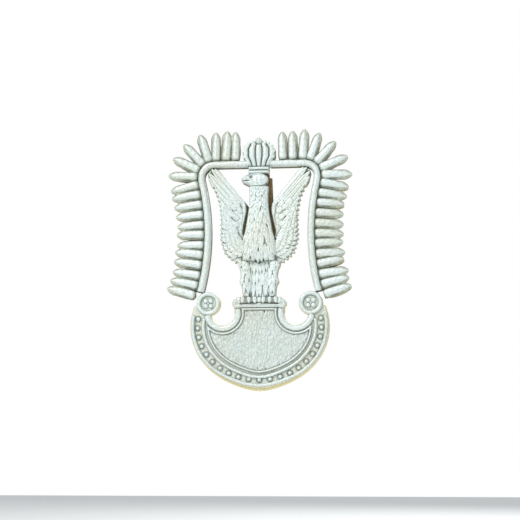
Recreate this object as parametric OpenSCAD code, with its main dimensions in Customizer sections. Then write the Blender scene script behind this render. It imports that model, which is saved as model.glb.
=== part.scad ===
// Military cap badge: a crowned eagle on a crescent-topped shield, framed by two
// swept plume wings, held to the cap by a threaded stud, a washer and a knurled nut.
// Millimetres. The badge faces -Y and its top is +Z. The origin is on the stud's
// axis, in the plane of the badge's flat back.

/* [Plates] */
// Thickness of the flat plates that everything is soldered to
plate_t = 1.4; // [1.2:0.1:1.5]
// Half width of the shield at its widest
shield_a = 15.8; // [15.4:0.1:16.2]
// Half height of the shield's oval
shield_b = 14.0; // [13.6:0.1:14.4]
// How far the shield's bottom point hangs below the oval
shield_point = 0.5; // [0.2:0.1:0.8]

/* [Plume wings] */
// Half width of the frame at its waist, to the middle of the bar
frame_waist = 11.7; // [11.6:0.05:11.9]
// Height of the top bar's middle above the stud
frame_top = 16.2; // [16.2:0.05:16.5]
// Width of the frame bar
bar_w = 1.6; // [1.4:0.1:1.7]
// Feathers in each plume wing
plume_count = 19; // [17:1:20]
// Length of a plume feather
plume_len = 6.4; // [5.8:0.1:6.6]
// Width of a plume feather at its widest
plume_w = 2; // [1.6:0.05:2.1]

/* [Relief] */
// Height of the frame bars above the plates
bar_h = 1.5; // [1:0.1:1.8]
// Height of the plume feathers above the plates
plume_h = 1.2; // [0.8:0.1:1.4]
// Height of the eagle's wings above the plates
wing_h = 1.6; // [1.2:0.1:2]
// Height of the eagle's breast above the plates
breast_h = 2.6; // [2:0.1:3]
// Height of the shield's outer rim above the plate
rim_h = 0.9; // [0.7:0.1:1.1]
// Diameter of the beads on the shield's rim
bead_d = 1.1; // [0.9:0.05:1.2]
// Beads on the shield's rim
bead_count = 21; // [17:1:22]

/* [Fastening] */
// Diameter of the stud's thread
stud_d = 4; // [3.5:0.1:4]
// How far the stud's end stands behind the badge
stud_len = 10.5; // [10:0.5:12]
// Thickness of cap cloth that the nut clamps
cloth_t = 1.6; // [1.2:0.1:1.8]
// Diameter of the knurled nut
nut_d = 12; // [11:0.5:13]
// Diameter of a locating pin
pin_d = 1.2; // [1:0.1:1.4]
// Length of a locating pin behind its pad
pin_len = 4; // [3.5:0.5:5]

/* [Hidden] */
$fn = 48;
silver = [0.83, 0.86, 0.84];
pale_silver = [0.9, 0.93, 0.92];
brass = [0.79, 0.65, 0.36];
leather = [0.38, 0.24, 0.14];

// Frame bar: a straight top, a corner arc and a side that bows in, drawn for +X.
side_r = 52;
corner_r = 3;
bar_start_x = 2.6;
feathers_start_x = 5.5;
frame_bottom = -13.2;
side_x = frame_waist + side_r;
corner_z = frame_top - corner_r;
corner_x = side_x - sqrt((side_r + corner_r) ^ 2 - corner_z ^ 2);
corner_sweep = 90 + asin(corner_z / (side_r + corner_r));
side_top_angle = asin(corner_z / (side_r + corner_r));
side_end_angle = asin(frame_bottom / side_r);

// Line that runs d outside the middle of the bar, from x = from_x to the bottom.
function plume_line(d, from_x) = concat(
    [[from_x, frame_top + d]],
    [for (i = [0:12]) let (t = 90 - i / 12 * corner_sweep)
        [corner_x + (corner_r + d) * cos(t), corner_z + (corner_r + d) * sin(t)]],
    [for (i = [1:20]) let (t = side_top_angle + i / 20 * (side_end_angle - side_top_angle))
        [side_x - (side_r - d) * cos(t), (side_r - d) * sin(t)]]);
function reversed(list) = [for (i = [len(list) - 1:-1:0]) list[i]];
module strip(d0, d1, from_x) {
    polygon(concat(plume_line(d0, from_x), reversed(plume_line(d1, from_x))));
}

// Feathers stand square to the bar, evenly spaced along a line 2 mm outside it.
bar_edge = bar_w / 2;
pitch_line = bar_edge + 2;
top_run = corner_x - feathers_start_x;
corner_run = (corner_r + pitch_line) * corner_sweep * PI / 180;
side_run = (side_r - pitch_line) * (side_top_angle - side_end_angle) * PI / 180;
past_bar = 1;
plume_pitch = (top_run + corner_run + side_run + past_bar) / (plume_count - 1);
// Root of a feather and the way it points, [x, z, angle], at length s along that line.
function plume_place(s) =
    s < top_run ? [feathers_start_x + s, frame_top + bar_edge, 90] :
    s < top_run + corner_run ?
        let (t = 90 - (s - top_run) / corner_run * corner_sweep)
        [corner_x + (corner_r + bar_edge) * cos(t), corner_z + (corner_r + bar_edge) * sin(t), t] :
    let (t = side_top_angle
            - (s - top_run - corner_run) / side_run * (side_top_angle - side_end_angle))
        [side_x - (side_r - bar_edge) * cos(t), (side_r - bar_edge) * sin(t), -t];
// The feathers halfway down the side are shorter than those at the corner and the end.
waist_trim = 0.4;
function feather_len(s) = plume_len - (s < top_run + corner_run ? 0 :
    waist_trim * sin(180 * (s - top_run - corner_run) / (side_run + past_bar)));
// Half width of a feather at u, from 0 at the root to 1 at the tip.
function leaf(u) = pow(sin(180 * pow(u, 0.75)), 0.45);
function leaf_outline(length, width, steps = 9) = concat(
    [for (i = [0:steps]) let (u = (1 - cos(180 * i / steps)) / 2)
        [u * length, -leaf(u) * width / 2]],
    [for (i = [steps - 1:-1:1]) let (u = (1 - cos(180 * i / steps)) / 2)
        [u * length, leaf(u) * width / 2]]);
// Outlines of all the feathers of one wing, each grown by grow past its tip and sides.
module plume_leaves(grow) {
    for (i = [0:plume_count - 1]) let (s = i * plume_pitch, p = plume_place(s))
        translate([p[0], p[1]]) rotate(p[2]) translate([0.05, 0])
            polygon(leaf_outline(feather_len(s) + grow, plume_w + 2 * grow));
}

// Shield
shield_z = -20.9;
scroll_x = 11.6;
scroll_z = -15.7;
scroll_r = 2.75;
notch_x = 8.3;
notch_z = -17.9;
notch_r = 2.7;
notch_side = 5.75;
perch_top = -14.3;
perch_lobe = 1.15;
perch_lobe_x = 5;
perch_lobe_z = perch_top - 1.5;
channel_line = 1.8;
inner_rim_line = 3.1;
field_line = 4.5;
field_top = -17.3;
seat_gap = 0.02;
// Oval of the shield, inset by d, with its bottom drawn to a soft point.
function shield_oval(d, steps = 60) = [for (i = [0:steps - 1]) let (t = 360 * i / steps)
    [(shield_a - d) * cos(t),
     shield_z + (shield_b - d) * sin(t) - shield_point * pow(max(0, -sin(t)), 24)]];
module mirrored_pair(x, z) {
    for (side = [-1, 1]) translate([side * x, z]) children();
}

// A slab of a flat outline: from back to front, measured forwards from the badge's back.
module slab(back, front) {
    rotate([90, 0, 0]) translate([0, 0, back]) linear_extrude(front - back) children();
}
module relief(height) {
    slab(plate_t, plate_t + height) children();
}
// A turned piece that stands behind the badge, from y0 to y1 on the axis through [x, z].
module turned(x, z, y0, y1, r) {
    translate([x, y1, z]) rotate([90, 0, 0]) cylinder(h = y1 - y0, r = r);
}

notch_mouth = notch_x + notch_r - 0.1 - notch_side;
module shield_outline() {
    difference() {
        intersection() {
            polygon(shield_oval(0));
            translate([-20, -40]) square([40, 39.5 + scroll_z]);
        }
        mirrored_pair(notch_x, notch_z) circle(r = notch_r);
        mirrored_pair(notch_side + notch_mouth / 2, notch_z + 2.3)
            square([notch_mouth, 4], center = true);
    }
    translate([-notch_side, notch_z + 0.1]) square([2 * notch_side, perch_lobe_z - notch_z]);
    translate([-perch_lobe_x, notch_z + 0.5])
        square([2 * perch_lobe_x, perch_top - notch_z - 0.5]);
    mirrored_pair(perch_lobe_x, perch_lobe_z) circle(r = perch_lobe);
    mirrored_pair(scroll_x, scroll_z) circle(r = scroll_r);
}
module shield_plate() {
    color(silver) slab(0, plate_t) shield_outline();
}

// The rim moulding lies between two insets of the oval, below the scrolls.
module oval_band(d0, d1, top) {
    intersection() {
        difference() {
            polygon(shield_oval(d0));
            polygon(shield_oval(d1));
        }
        translate([-20, -40]) square([40, 40 + top]);
    }
}
rim_top = scroll_z - scroll_r - 0.1;
module shield_rim() {
    color(silver) relief(rim_h) oval_band(0.3, 1.15, rim_top);
}
module inner_rim() {
    color(silver) relief(rim_h - 0.2)
        oval_band(inner_rim_line - 0.35, inner_rim_line + 0.35, notch_z - 1.3);
}
// Moulding that follows a notch from the perch round to the scroll
crescent_edge = notch_r + 0.15;
crescent_w = 1.3;
module crescent_rim() {
    relief(rim_h - 0.2) difference() {
        intersection() {
            translate([notch_x, notch_z]) circle(r = crescent_edge + crescent_w);
            translate([notch_x - 5, notch_z - 5]) square([10, 5.9]);
        }
        translate([notch_x, notch_z]) circle(r = crescent_edge);
        translate([scroll_x, scroll_z]) circle(r = scroll_r + seat_gap);
    }
}
module left_crescent_rim() {
    color(silver) mirror([1, 0, 0]) crescent_rim();
}
module right_crescent_rim() {
    color(silver) crescent_rim();
}
bead_span = 196;
module rim_beads() {
    color(pale_silver) for (i = [0:bead_count - 1])
        let (t = -90 + bead_span * (i / (bead_count - 1) - 0.5), d = channel_line) {
            translate([(shield_a - d) * cos(t), -plate_t, shield_z + (shield_b - d) * sin(t)])
                intersection() {
                    sphere(r = bead_d / 2);
                    translate([-2, -2, -2]) cube([4, 2, 4]);
                }
        }
}
// The sunk field of the shield and, grown by d, the moulding round it.
notch_rim = 2.2;
module field_outline(d) {
    difference() {
        intersection() {
            polygon(shield_oval(field_line - d));
            translate([-20, -40]) square([40, 40 + field_top + d]);
        }
        mirrored_pair(notch_x, notch_z) circle(r = notch_r + notch_rim - d);
        mirrored_pair(notch_x + 4.5, field_top) square([9, 4], center = true);
    }
}
border_w = 0.55;
module field_border() {
    color(silver) relief(rim_h - 0.3) difference() {
        field_outline(border_w);
        field_outline(0);
    }
}
module field_panel() {
    color(pale_silver) relief(0.3) field_outline(0);
}
scroll_ring_w = 0.9;
module scroll_ring() {
    relief(rim_h) translate([scroll_x, scroll_z]) difference() {
        circle(r = scroll_r - 0.1);
        circle(r = scroll_r - 0.1 - scroll_ring_w);
    }
}
module left_scroll_ring() {
    color(silver) mirror([1, 0, 0]) scroll_ring();
}
module right_scroll_ring() {
    color(silver) scroll_ring();
}
petal_r = 0.62;
module rosette() {
    relief(0.8) translate([scroll_x, scroll_z]) {
        for (i = [0:3]) rotate(45 + 90 * i) translate([0.85, 0]) circle(r = petal_r);
        circle(r = 0.5);
    }
}
module left_rosette() {
    color(pale_silver) mirror([1, 0, 0]) rosette();
}
module right_rosette() {
    color(pale_silver) rosette();
}

// Outlines of the eagle, drawn for +X where they are symmetrical
wing_edge = [[9.5, 15.2], [10.9, 15.25], [11.6, 14.7], [11.85, 13.9], [11.4, 12], [10.2, 9.8],
    [9.5, 7.9], [9, 5.2], [8.9, 2.3], [9.1, -0.7], [8.6, -2.7], [8.1, -4.3], [6.8, -5.7],
    [4.9, -7]];
wing_root = [[3.9, -6], [3.6, -1], [3.8, 0.6], [3.7, 1.2], [3.2, 3.4], [2.75, 5.4]];
wing_top = [[3.1, 7.3], [4.5, 8.9], [6.8, 11.8]];
leg_edge = [[4.3, -8.2], [4.1, -9.6], [4.5, -10.9], [3.9, -12], [3.7, perch_top]];
torso_half = [[2.15, 11], [2.2, 10.2], [2.1, 8], [2.3, 5.4], [2.7, 3], [3, 1.2], [3.1, 0.4],
    [3.6, -1], [3.9, -6], [2.6, -6.2], [1.2, -6.2]];
beak = [[-2.5, 13.75], [-3.2, 13.45], [-4, 12.9], [-4.05, 12.3], [-3.7, 11.8], [-3.1, 11.5],
    [-2.15, 11]];
crown_half = [[2.3, 15.4], [2.9, 16.6], [3.75, 17.7], [3.75, 19.5], [2.7, 20.7], [0.9, 21.3]];
orb_z = 21.4;
orb_r = 0.88;
function mirrored(points) = [for (p = points) [-p[0], p[1]]];
function symmetrical(half) = concat(half, reversed(mirrored(half)));
module wing_outline() {
    polygon(concat(wing_edge, wing_root, wing_top));
}
module torso_outline() {
    polygon(concat(torso_half, [[0, -7]], reversed(mirrored(torso_half))));
}
module leg_outline() {
    polygon(concat([[4.9, -7]], leg_edge, [[1.9, perch_top], [1.8, -8], [2.6, -6.2], [3.9, -6]]));
}
module tail_outline() {
    polygon([[1.8, -8], [1.9, perch_top], [-1.9, perch_top], [-1.8, -8], [-2.6, -6.2], [-1.2, -6.2],
        [0, -7], [1.2, -6.2], [2.6, -6.2]]);
}
module head_outline() {
    polygon(concat([[2.15, 11], [2.1, 13.75]], beak));
}
// Outline of the crown's arches, wider by gap on each side.
module crown_outline(gap = 0) {
    polygon(symmetrical([for (p = crown_half) [p[0] + gap, p[1]]]));
}
// One plate carries crown, head, wings and legs. It stays whole behind the slots that
// part the wings from the breast, and shows beside the neck as a narrow web.
module eagle_plate() {
    color(silver) slab(0, plate_t) {
        polygon(reversed(symmetrical(concat(reversed(crown_half), [[2.3, 13.6], [2.1, 11],
            [2.1, 8], [2.3, 6.2]], wing_top, wing_edge, leg_edge))));
        polygon(concat(beak, [[0, 11.2], [0, 13.6]]));
        polygon([[1, 6], [3, 6.6], [3.1, 8], [2.9, 13], [1, 13.2]]);
        translate([0, orb_z]) circle(r = orb_r);
    }
}
plate_reach = 2.6;
plate_grow = 0.12;
module plume_plate() {
    slab(0, plate_t) difference() {
        union() {
            strip(-bar_edge, bar_edge, bar_start_x);
            strip(0, bar_edge + plate_reach, feathers_start_x - 0.8);
            plume_leaves(plate_grow);
        }
        translate([scroll_x, scroll_z]) circle(r = scroll_r + seat_gap);
        crown_outline(seat_gap);
    }
}
module left_plume_plate() {
    color(silver) mirror([1, 0, 0]) plume_plate();
}
module right_plume_plate() {
    color(silver) plume_plate();
}
module plume_bar() {
    relief(bar_h) difference() {
        strip(-bar_edge, bar_edge, bar_start_x);
        translate([scroll_x, scroll_z]) circle(r = scroll_r + seat_gap);
        crown_outline(seat_gap);
    }
}
module left_plume_bar() {
    color(silver) mirror([1, 0, 0]) plume_bar();
}
module right_plume_bar() {
    color(silver) plume_bar();
}
module plume_feathers() {
    relief(plume_h) difference() {
        plume_leaves(0);
        strip(-1, bar_edge, bar_start_x);
        translate([scroll_x, scroll_z]) circle(r = scroll_r + seat_gap);
    }
}
module left_plume_feathers() {
    color(pale_silver) mirror([1, 0, 0]) plume_feathers();
}
module right_plume_feathers() {
    color(pale_silver) plume_feathers();
}

// Relief of the eagle
module left_wing() {
    color(pale_silver) mirror([1, 0, 0]) relief(wing_h) wing_outline();
}
module right_wing() {
    color(pale_silver) relief(wing_h) wing_outline();
}
module eagle_body() {
    color(pale_silver) relief(breast_h) torso_outline();
}
module eagle_head() {
    color(pale_silver) relief(breast_h - 0.2) head_outline();
}
module left_leg() {
    color(pale_silver) mirror([1, 0, 0]) relief(wing_h) leg_outline();
}
module right_leg() {
    color(pale_silver) relief(wing_h) leg_outline();
}
module tail() {
    color(silver) relief(wing_h - 0.6) tail_outline();
}
module crown_band() {
    color(silver) relief(breast_h - 0.4) translate([-2.3, 13.75]) square([4.6, 1.65]);
}
module crown_arches() {
    color(silver) relief(breast_h - 0.3) difference() {
        crown_outline();
        translate([0, orb_z]) circle(r = orb_r + seat_gap);
    }
}
module crown_orb() {
    color(pale_silver) relief(breast_h - 0.6) translate([0, orb_z]) circle(r = orb_r);
}
// Ledge with rounded ends between the scrolls, which the talons grip.
perch_ledge_z = -16.7;
module perch() {
    color(silver) relief(rim_h) {
        translate([-perch_lobe_x, perch_ledge_z])
            square([2 * perch_lobe_x, perch_top - perch_ledge_z]);
        mirrored_pair(perch_lobe_x, perch_lobe_z) circle(r = perch_lobe - 0.05);
    }
}

// Fastening behind the badge. y grows backwards from the badge's back plane.
flange_t = 0.8;
flange_r = 5;
shank_end = flange_t + cloth_t;
undercut = 0.3;
washer_t = 0.6;
nut_disc_t = 1;
nut_collar_t = 2;
module stud_plate() {
    color(brass) turned(0, 0, 0, flange_t, flange_r);
}
// A shank through the cloth, whose shoulder stops the washer, then an undercut, the
// thread and a chamfered end.
shank_r = stud_d / 2 + 0.2;
thread_depth = 0.45;
chamfer = 0.5;
module stud() {
    thread_start = shank_end + undercut;
    color(brass) rotate([-90, 0, 0]) rotate_extrude() polygon([[0, flange_t],
        [shank_r, flange_t], [shank_r, shank_end],
        [stud_d / 2 - thread_depth, shank_end], [stud_d / 2 - thread_depth, thread_start],
        [stud_d / 2, thread_start], [stud_d / 2, stud_len - chamfer],
        [stud_d / 2 - chamfer, stud_len], [0, stud_len]]);
}
// A pin with a round solder pad and a pointed end.
module locating_pin(z) {
    pad_t = 0.5;
    translate([0, 0, z]) rotate([-90, 0, 0]) rotate_extrude() polygon([[0, 0], [1.4, 0],
        [1.4, pad_t], [pin_d / 2, pad_t], [pin_d / 2, pad_t + pin_len], [0, pad_t + pin_len + 1]]);
}
upper_pin_z = 18.2;
lower_pin_z = -26;
module upper_pin() {
    color(brass) locating_pin(upper_pin_z);
}
module lower_pin() {
    color(brass) locating_pin(lower_pin_z);
}
running_gap = 0.03;
module washer() {
    color(leather) difference() {
        turned(0, 0, shank_end, shank_end + washer_t, nut_d / 2 + 0.6);
        turned(0, 0, 0, shank_end + 2, stud_d / 2 + running_gap);
    }
}
grip_count = 36;
grip_r = 0.32;
module nut() {
    disc_y = shank_end + washer_t;
    color(brass) difference() {
        union() {
            turned(0, 0, disc_y, disc_y + nut_disc_t, nut_d / 2);
            turned(0, 0, disc_y, disc_y + nut_disc_t + nut_collar_t, stud_d / 2 + 1.4);
        }
        turned(0, 0, 0, stud_len, stud_d / 2 + running_gap);
        for (i = [0:grip_count - 1]) rotate([0, 360 * i / grip_count, 0])
            turned(nut_d / 2 + 0.1, 0, disc_y - 1, disc_y + nut_disc_t + 1, grip_r);
    }
}

shield_plate();
shield_rim();
inner_rim();
rim_beads();
left_crescent_rim();
right_crescent_rim();
field_border();
field_panel();
left_scroll_ring();
right_scroll_ring();
left_rosette();
right_rosette();
perch();
eagle_plate();
eagle_body();
eagle_head();
left_wing();
right_wing();
left_leg();
right_leg();
tail();
crown_band();
crown_arches();
crown_orb();
left_plume_plate();
right_plume_plate();
left_plume_bar();
right_plume_bar();
left_plume_feathers();
right_plume_feathers();
stud_plate();
stud();
upper_pin();
lower_pin();
washer();
nut();
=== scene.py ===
# %% [markdown]
# # A struck and built-up cap badge
# The badge is a stack of thin silver-plated brass pieces: flat plates at the back, and on them
# the raised work, which a die presses from sheet. This lesson keeps the outline and height of
# every piece from the CAD model, and gives each one the surface that the die would give it.
# The CAD model comes in first. Nothing below moves it.

# %% The frame
import math
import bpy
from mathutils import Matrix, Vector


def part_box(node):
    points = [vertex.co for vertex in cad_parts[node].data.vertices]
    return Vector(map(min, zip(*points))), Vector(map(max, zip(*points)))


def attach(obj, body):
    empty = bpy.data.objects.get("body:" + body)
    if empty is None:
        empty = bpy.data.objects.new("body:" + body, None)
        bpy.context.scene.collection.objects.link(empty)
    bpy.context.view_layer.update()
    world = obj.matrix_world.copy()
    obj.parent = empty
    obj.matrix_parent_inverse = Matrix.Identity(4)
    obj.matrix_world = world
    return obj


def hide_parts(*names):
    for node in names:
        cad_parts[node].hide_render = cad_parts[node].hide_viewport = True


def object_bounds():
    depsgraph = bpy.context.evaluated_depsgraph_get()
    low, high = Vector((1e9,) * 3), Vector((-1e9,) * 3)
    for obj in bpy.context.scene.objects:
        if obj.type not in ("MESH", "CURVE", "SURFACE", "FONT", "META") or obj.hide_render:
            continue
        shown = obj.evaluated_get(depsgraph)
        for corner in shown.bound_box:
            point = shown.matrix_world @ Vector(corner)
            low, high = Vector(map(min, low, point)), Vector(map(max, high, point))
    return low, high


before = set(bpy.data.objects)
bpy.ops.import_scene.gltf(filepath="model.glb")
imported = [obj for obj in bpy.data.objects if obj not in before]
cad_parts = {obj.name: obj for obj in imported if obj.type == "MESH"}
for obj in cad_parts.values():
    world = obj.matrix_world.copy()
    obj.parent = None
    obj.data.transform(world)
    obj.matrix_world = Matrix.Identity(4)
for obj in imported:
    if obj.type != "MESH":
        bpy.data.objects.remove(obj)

from types import SimpleNamespace

import bmesh
import bpy
import numpy as np
from mathutils import Vector
from mathutils.geometry import delaunay_2d_cdt

cad_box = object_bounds()
MM = 0.001
PLATE = -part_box("shield_plate")[0].y / MM
print("plates are", round(PLATE, 2), "mm thick; the badge is",
      round((cad_box[1].z - cad_box[0].z) / MM, 1), "mm tall")

# %% [markdown]
# ## Reading outlines from the CAD pieces
# Every raised piece is a flat shape with a height. The edge loop of its front face is all that
# a new surface needs, so it is read from the mesh: an edge that only one front face uses lies on
# the outline. Walking those edges in the direction of their faces leaves the metal on the left.


# %% Outline of a node
def islands(node):
    """The front face of each separate solid in a node, as closed loops of (x, z) in millimetres."""
    mesh = bmesh.new()
    mesh.from_mesh(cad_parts[node].data)
    bmesh.ops.remove_doubles(mesh, verts=mesh.verts, dist=2e-6)
    front = min(v.co.y for v in mesh.verts)
    faces = [f for f in mesh.faces if all(v.co.y < front + 1e-5 for v in f.verts)]
    on_front = set(faces)
    follows = {}
    for face in faces:
        for corner in face.loops:
            if sum(f in on_front for f in corner.edge.link_faces) == 1:
                follows[corner.vert] = corner.link_loop_next.vert
    loops = []
    while follows:
        vert = next(iter(follows))
        loop = []
        while vert in follows:
            loop.append((vert.co.x / MM, vert.co.z / MM))
            vert = follows.pop(vert)
        loops.append(np.array(loop))
    mesh.free()
    return loops


def raised(node):
    """How far a node's front stands above the plates, in millimetres."""
    return -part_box(node)[0].y / MM - PLATE


def turned_over(loops):
    """The same loops mirrored left to right, still with the metal on their left."""
    return [loop[::-1] * (-1, 1) for loop in loops]


def softened(loop, rounds=2):
    """The loop with its corners cut, twice as many points each round."""
    for _ in range(rounds):
        after = np.roll(loop, -1, 0)
        loop = np.stack([loop * 0.75 + after * 0.25, loop * 0.25 + after * 0.75], 1).reshape(-1, 2)
    return loop


def spaced(line, step, closed=True):
    """Points along a line, no further apart than step."""
    ends = np.roll(line, -1, 0) if closed else line[1:]
    out = []
    for a, b in zip(line, ends):
        n = max(1, math.ceil(np.hypot(*(b - a)) / step))
        out += [a + (b - a) * k / n for k in range(n)]
    return np.array(out if closed else out + [line[-1]])


print("the right wing's outline has", len(islands("right_wing")[0]), "points")

# %% [markdown]
# ## The die: a sheet of heights
# A die for struck metal is a picture of heights. Here it is a grid 0.04 mm apart, with the
# distance in from the outline stored at each place. Feathers are pressed into it one by one, and
# where two overlap the higher one wins, as the upper feather hides the lower on a bird. Meshing
# comes afterwards, so the order of the feathers costs nothing. Sculpting or a displacement map
# could do the same, but this keeps every feather a rule with a root, a tip and a width.

# %% Heights on a grid
GRAIN = 0.04


def inside(loops, x, z):
    """True where a point lies in the metal."""
    hit = np.zeros(x.shape, bool)
    for loop in loops:
        for (x0, z0), (x1, z1) in zip(loop, np.roll(loop, -1, 0)):
            if z0 != z1:
                hit ^= ((z0 > z) != (z1 > z)) & (x < (x1 - x0) * (z - z0) / (z1 - z0) + x0)
    return hit


def edge_distance(loops, x, z):
    """Distance to the nearest outline."""
    best = np.full(x.shape, 1e9)
    for loop in loops:
        for (x0, z0), (x1, z1) in zip(loop, np.roll(loop, -1, 0)):
            dx, dz = x1 - x0, z1 - z0
            along = np.clip(((x - x0) * dx + (z - z0) * dz) / max(dx * dx + dz * dz, 1e-12), 0, 1)
            best = np.minimum(best, (x - x0 - along * dx) ** 2 + (z - z0 - along * dz) ** 2)
    return np.sqrt(best)


def sheet_for(loops, grain=GRAIN):
    """A grid over the loops, with the distance in from the outline and no relief yet."""
    points = np.concatenate(loops)
    low, high = points.min(0) - 0.5, points.max(0) + 0.5
    x, z = np.meshgrid(np.arange(low[0], high[0], grain), np.arange(low[1], high[1], grain))
    inset = edge_distance(loops, x, z) * np.where(inside(loops, x, z), 1, -1)
    return SimpleNamespace(loops=loops, low=low, grain=grain, x=x, z=z, inset=inset,
                           relief=np.zeros(x.shape))


def read(sheet, values, x, z):
    """The value at any place, blended from the four grid points round it."""
    u, v = (x - sheet.low[0]) / sheet.grain, (z - sheet.low[1]) / sheet.grain
    i = np.clip(u.astype(int), 0, values.shape[1] - 2)
    j = np.clip(v.astype(int), 0, values.shape[0] - 2)
    u, v = np.clip(u - i, 0, 1), np.clip(v - j, 0, 1)
    top = values[j, i] * (1 - u) + values[j, i + 1] * u
    return top * (1 - v) + (values[j + 1, i] * (1 - u) + values[j + 1, i + 1] * u) * v


def blurred(values, radius, passes=2):
    """A box blur, radius in millimetres."""
    n = max(1, round(radius / GRAIN))
    for _ in range(passes):
        for axis in (0, 1):
            widths = [(0, 0), (0, 0)]
            widths[axis] = (n + 1, n)
            total = np.cumsum(np.pad(values, widths, mode="edge"), axis)
            size = values.shape[axis]
            values = (np.take(total, range(2 * n + 1, 2 * n + 1 + size), axis)
                      - np.take(total, range(size), axis)) / (2 * n + 1)
    return values


def rounded_edge(inset, width):
    """0 at the outline, rising like a quarter circle to 1 at width inside it."""
    t = 1 - np.clip(inset / width, 0, 1)
    return np.sqrt(1 - t * t)


def clear_of(blank, nodes, flip=False):
    """0 beside a neighbouring piece, 1 where the outline is free, so joined edges stay high."""
    gap = np.full(blank.x.shape, 1e9)
    for node in nodes:
        loops = islands(node)
        gap = np.minimum(gap, edge_distance(turned_over(loops) if flip else loops,
                                            blank.x, blank.z))
    return np.clip((gap - 0.12) / 0.35, 0, 1)


# %% [markdown]
# ## From sheet to mesh
# The outline becomes a ring of points, and a regular grid fills it. Constrained Delaunay
# triangulation joins them without crossing the outline, so a thin beak or a sharp horn keeps its
# shape, which a plain grid would cut into steps. The front face gets its heights from the sheet,
# and short walls and a flat back close it. Each point also carries "hollow": how far it lies below
# its surroundings, or the painted shade it gets beside its neighbours. The finish reads it later.


# %% Struck piece
def finished(obj, body, slot, material, *nodes):
    """Puts a piece on its body, gives it its finish, and lets it stand for CAD nodes."""
    if obj.name not in bpy.context.scene.collection.objects:
        bpy.context.scene.collection.objects.link(obj)
    obj.data.materials.clear()
    obj.data.materials.append(material)
    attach(obj, body)
    if nodes:
        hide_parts(*nodes)
    return obj


def in_relief(obj, *nodes):
    """A finished piece of the badge in the pale relief silver, which most of them have."""
    return finished(obj, "badge", "silvered_relief", relief_silver, *nodes)


def piece_from(name, points, faces, hollow=None, crease=40):
    """A smooth-shaded mesh object from points in millimetres."""
    mesh = bpy.data.meshes.new(name)
    mesh.from_pydata((np.asarray(points) * MM).tolist(), [], [list(f) for f in faces])
    mesh.shade_smooth()
    mesh.set_sharp_from_angle(angle=math.radians(crease))
    mark = mesh.attributes.new("hollow", "FLOAT", "POINT")
    if hollow is not None:
        mark.data.foreach_set("value", np.asarray(hollow, np.float32))
    return bpy.data.objects.new(name, mesh)


def triangles(loops, extra):
    """Points and triangles of the area inside loops: the loops' points first, then extra."""
    points = np.concatenate(loops + [extra])
    edges, start = [], 0
    for loop in loops:
        n = len(loop)
        edges += [(start + k, start + (k + 1) % n) for k in range(n)]
        start += n
    out = delaunay_2d_cdt([Vector(p) for p in points], edges, [], 0, 1e-7)
    kept = np.array([source[0] for source in out[3]])
    tris = kept[np.array(out[2])]
    return points, tris[in_metal(loops, points, tris, edges)], edges


def in_metal(loops, points, tris, edges):
    """Marks whole regions between outlines, by their biggest triangle, so no sliver is lost."""
    outline = {(min(pair), max(pair)) for pair in edges}
    across = {}
    for t, (a, b, c) in enumerate(tris.tolist()):
        for pair in ((a, b), (b, c), (c, a)):
            across.setdefault((min(pair), max(pair)), []).append(t)
    beside = [[] for _ in tris]
    for pair, pieces in across.items():
        if pair not in outline and len(pieces) == 2:
            beside[pieces[0]].append(pieces[1])
            beside[pieces[1]].append(pieces[0])
    corners = points[tris]
    one, two = corners[:, 1] - corners[:, 0], corners[:, 2] - corners[:, 0]
    area = np.abs(one[:, 0] * two[:, 1] - one[:, 1] * two[:, 0])
    centre = corners.mean(1)
    within = inside(loops, centre[:, 0], centre[:, 1]) & (area > 1e-5)
    metal, seen = np.zeros(len(tris), bool), np.zeros(len(tris), bool)
    for first in np.argsort(-area):
        waiting = [] if seen[first] else [first]
        seen[first] = True
        while waiting:
            t = waiting.pop()
            metal[t] = within[first]
            for other in beside[t]:
                if not seen[other]:
                    seen[other] = True
                    waiting.append(other)
    return metal


def struck(name, sheet, height, hollow, foot=PLATE, step=0.08):
    """A closed mesh over sheet's outline. height and hollow are grids that match the sheet."""
    rims = [spaced(loop, step * 1.5) for loop in sheet.loops]
    low, high = np.concatenate(rims).min(0), np.concatenate(rims).max(0)
    gx, gz = np.meshgrid(np.arange(low[0], high[0], step), np.arange(low[1], high[1], step))
    gx[1::2] += step / 2
    deep = read(sheet, sheet.inset, gx, gz) > step * 0.6
    points, tris, edges = triangles(rims, np.stack([gx[deep], gz[deep]], 1))
    rim_count = sum(len(r) for r in rims)
    _, back_tris, _ = triangles(rims, np.zeros((0, 2)))
    total = len(points)
    tall = np.maximum(read(sheet, height, points[:, 0], points[:, 1]), 0.05)
    front = np.stack([points[:, 0], -foot - tall, points[:, 1]], 1)
    back = front[:rim_count].copy()
    back[:, 1] = -foot
    walls = [(a, total + a, total + b, b) for a, b in edges]
    faces = tris.tolist() + walls + (back_tris[:, ::-1] + total).tolist()
    dark = read(sheet, hollow, points[:, 0], points[:, 1])
    obj = piece_from(name, np.concatenate([front, back]), faces,
                     np.concatenate([dark, np.full(rim_count, 0.2)]))
    print(name, len(faces), "faces,", round(float(tall.max()), 2), "mm high")
    return obj


def hollows(height, reach=0.22, depth=0.11):
    """1 where the surface lies well below what is round it, 0 where it doesn't."""
    return np.clip((blurred(height, reach) - height) / depth, 0, 1)


# %% [markdown]
# ## One feather
# All the feathering is one stamp: a leaf from root to tip. It rises towards its tip, so that it
# lies over the root of the next one, is rounded across, and has a quill and fine barbs.


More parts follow.
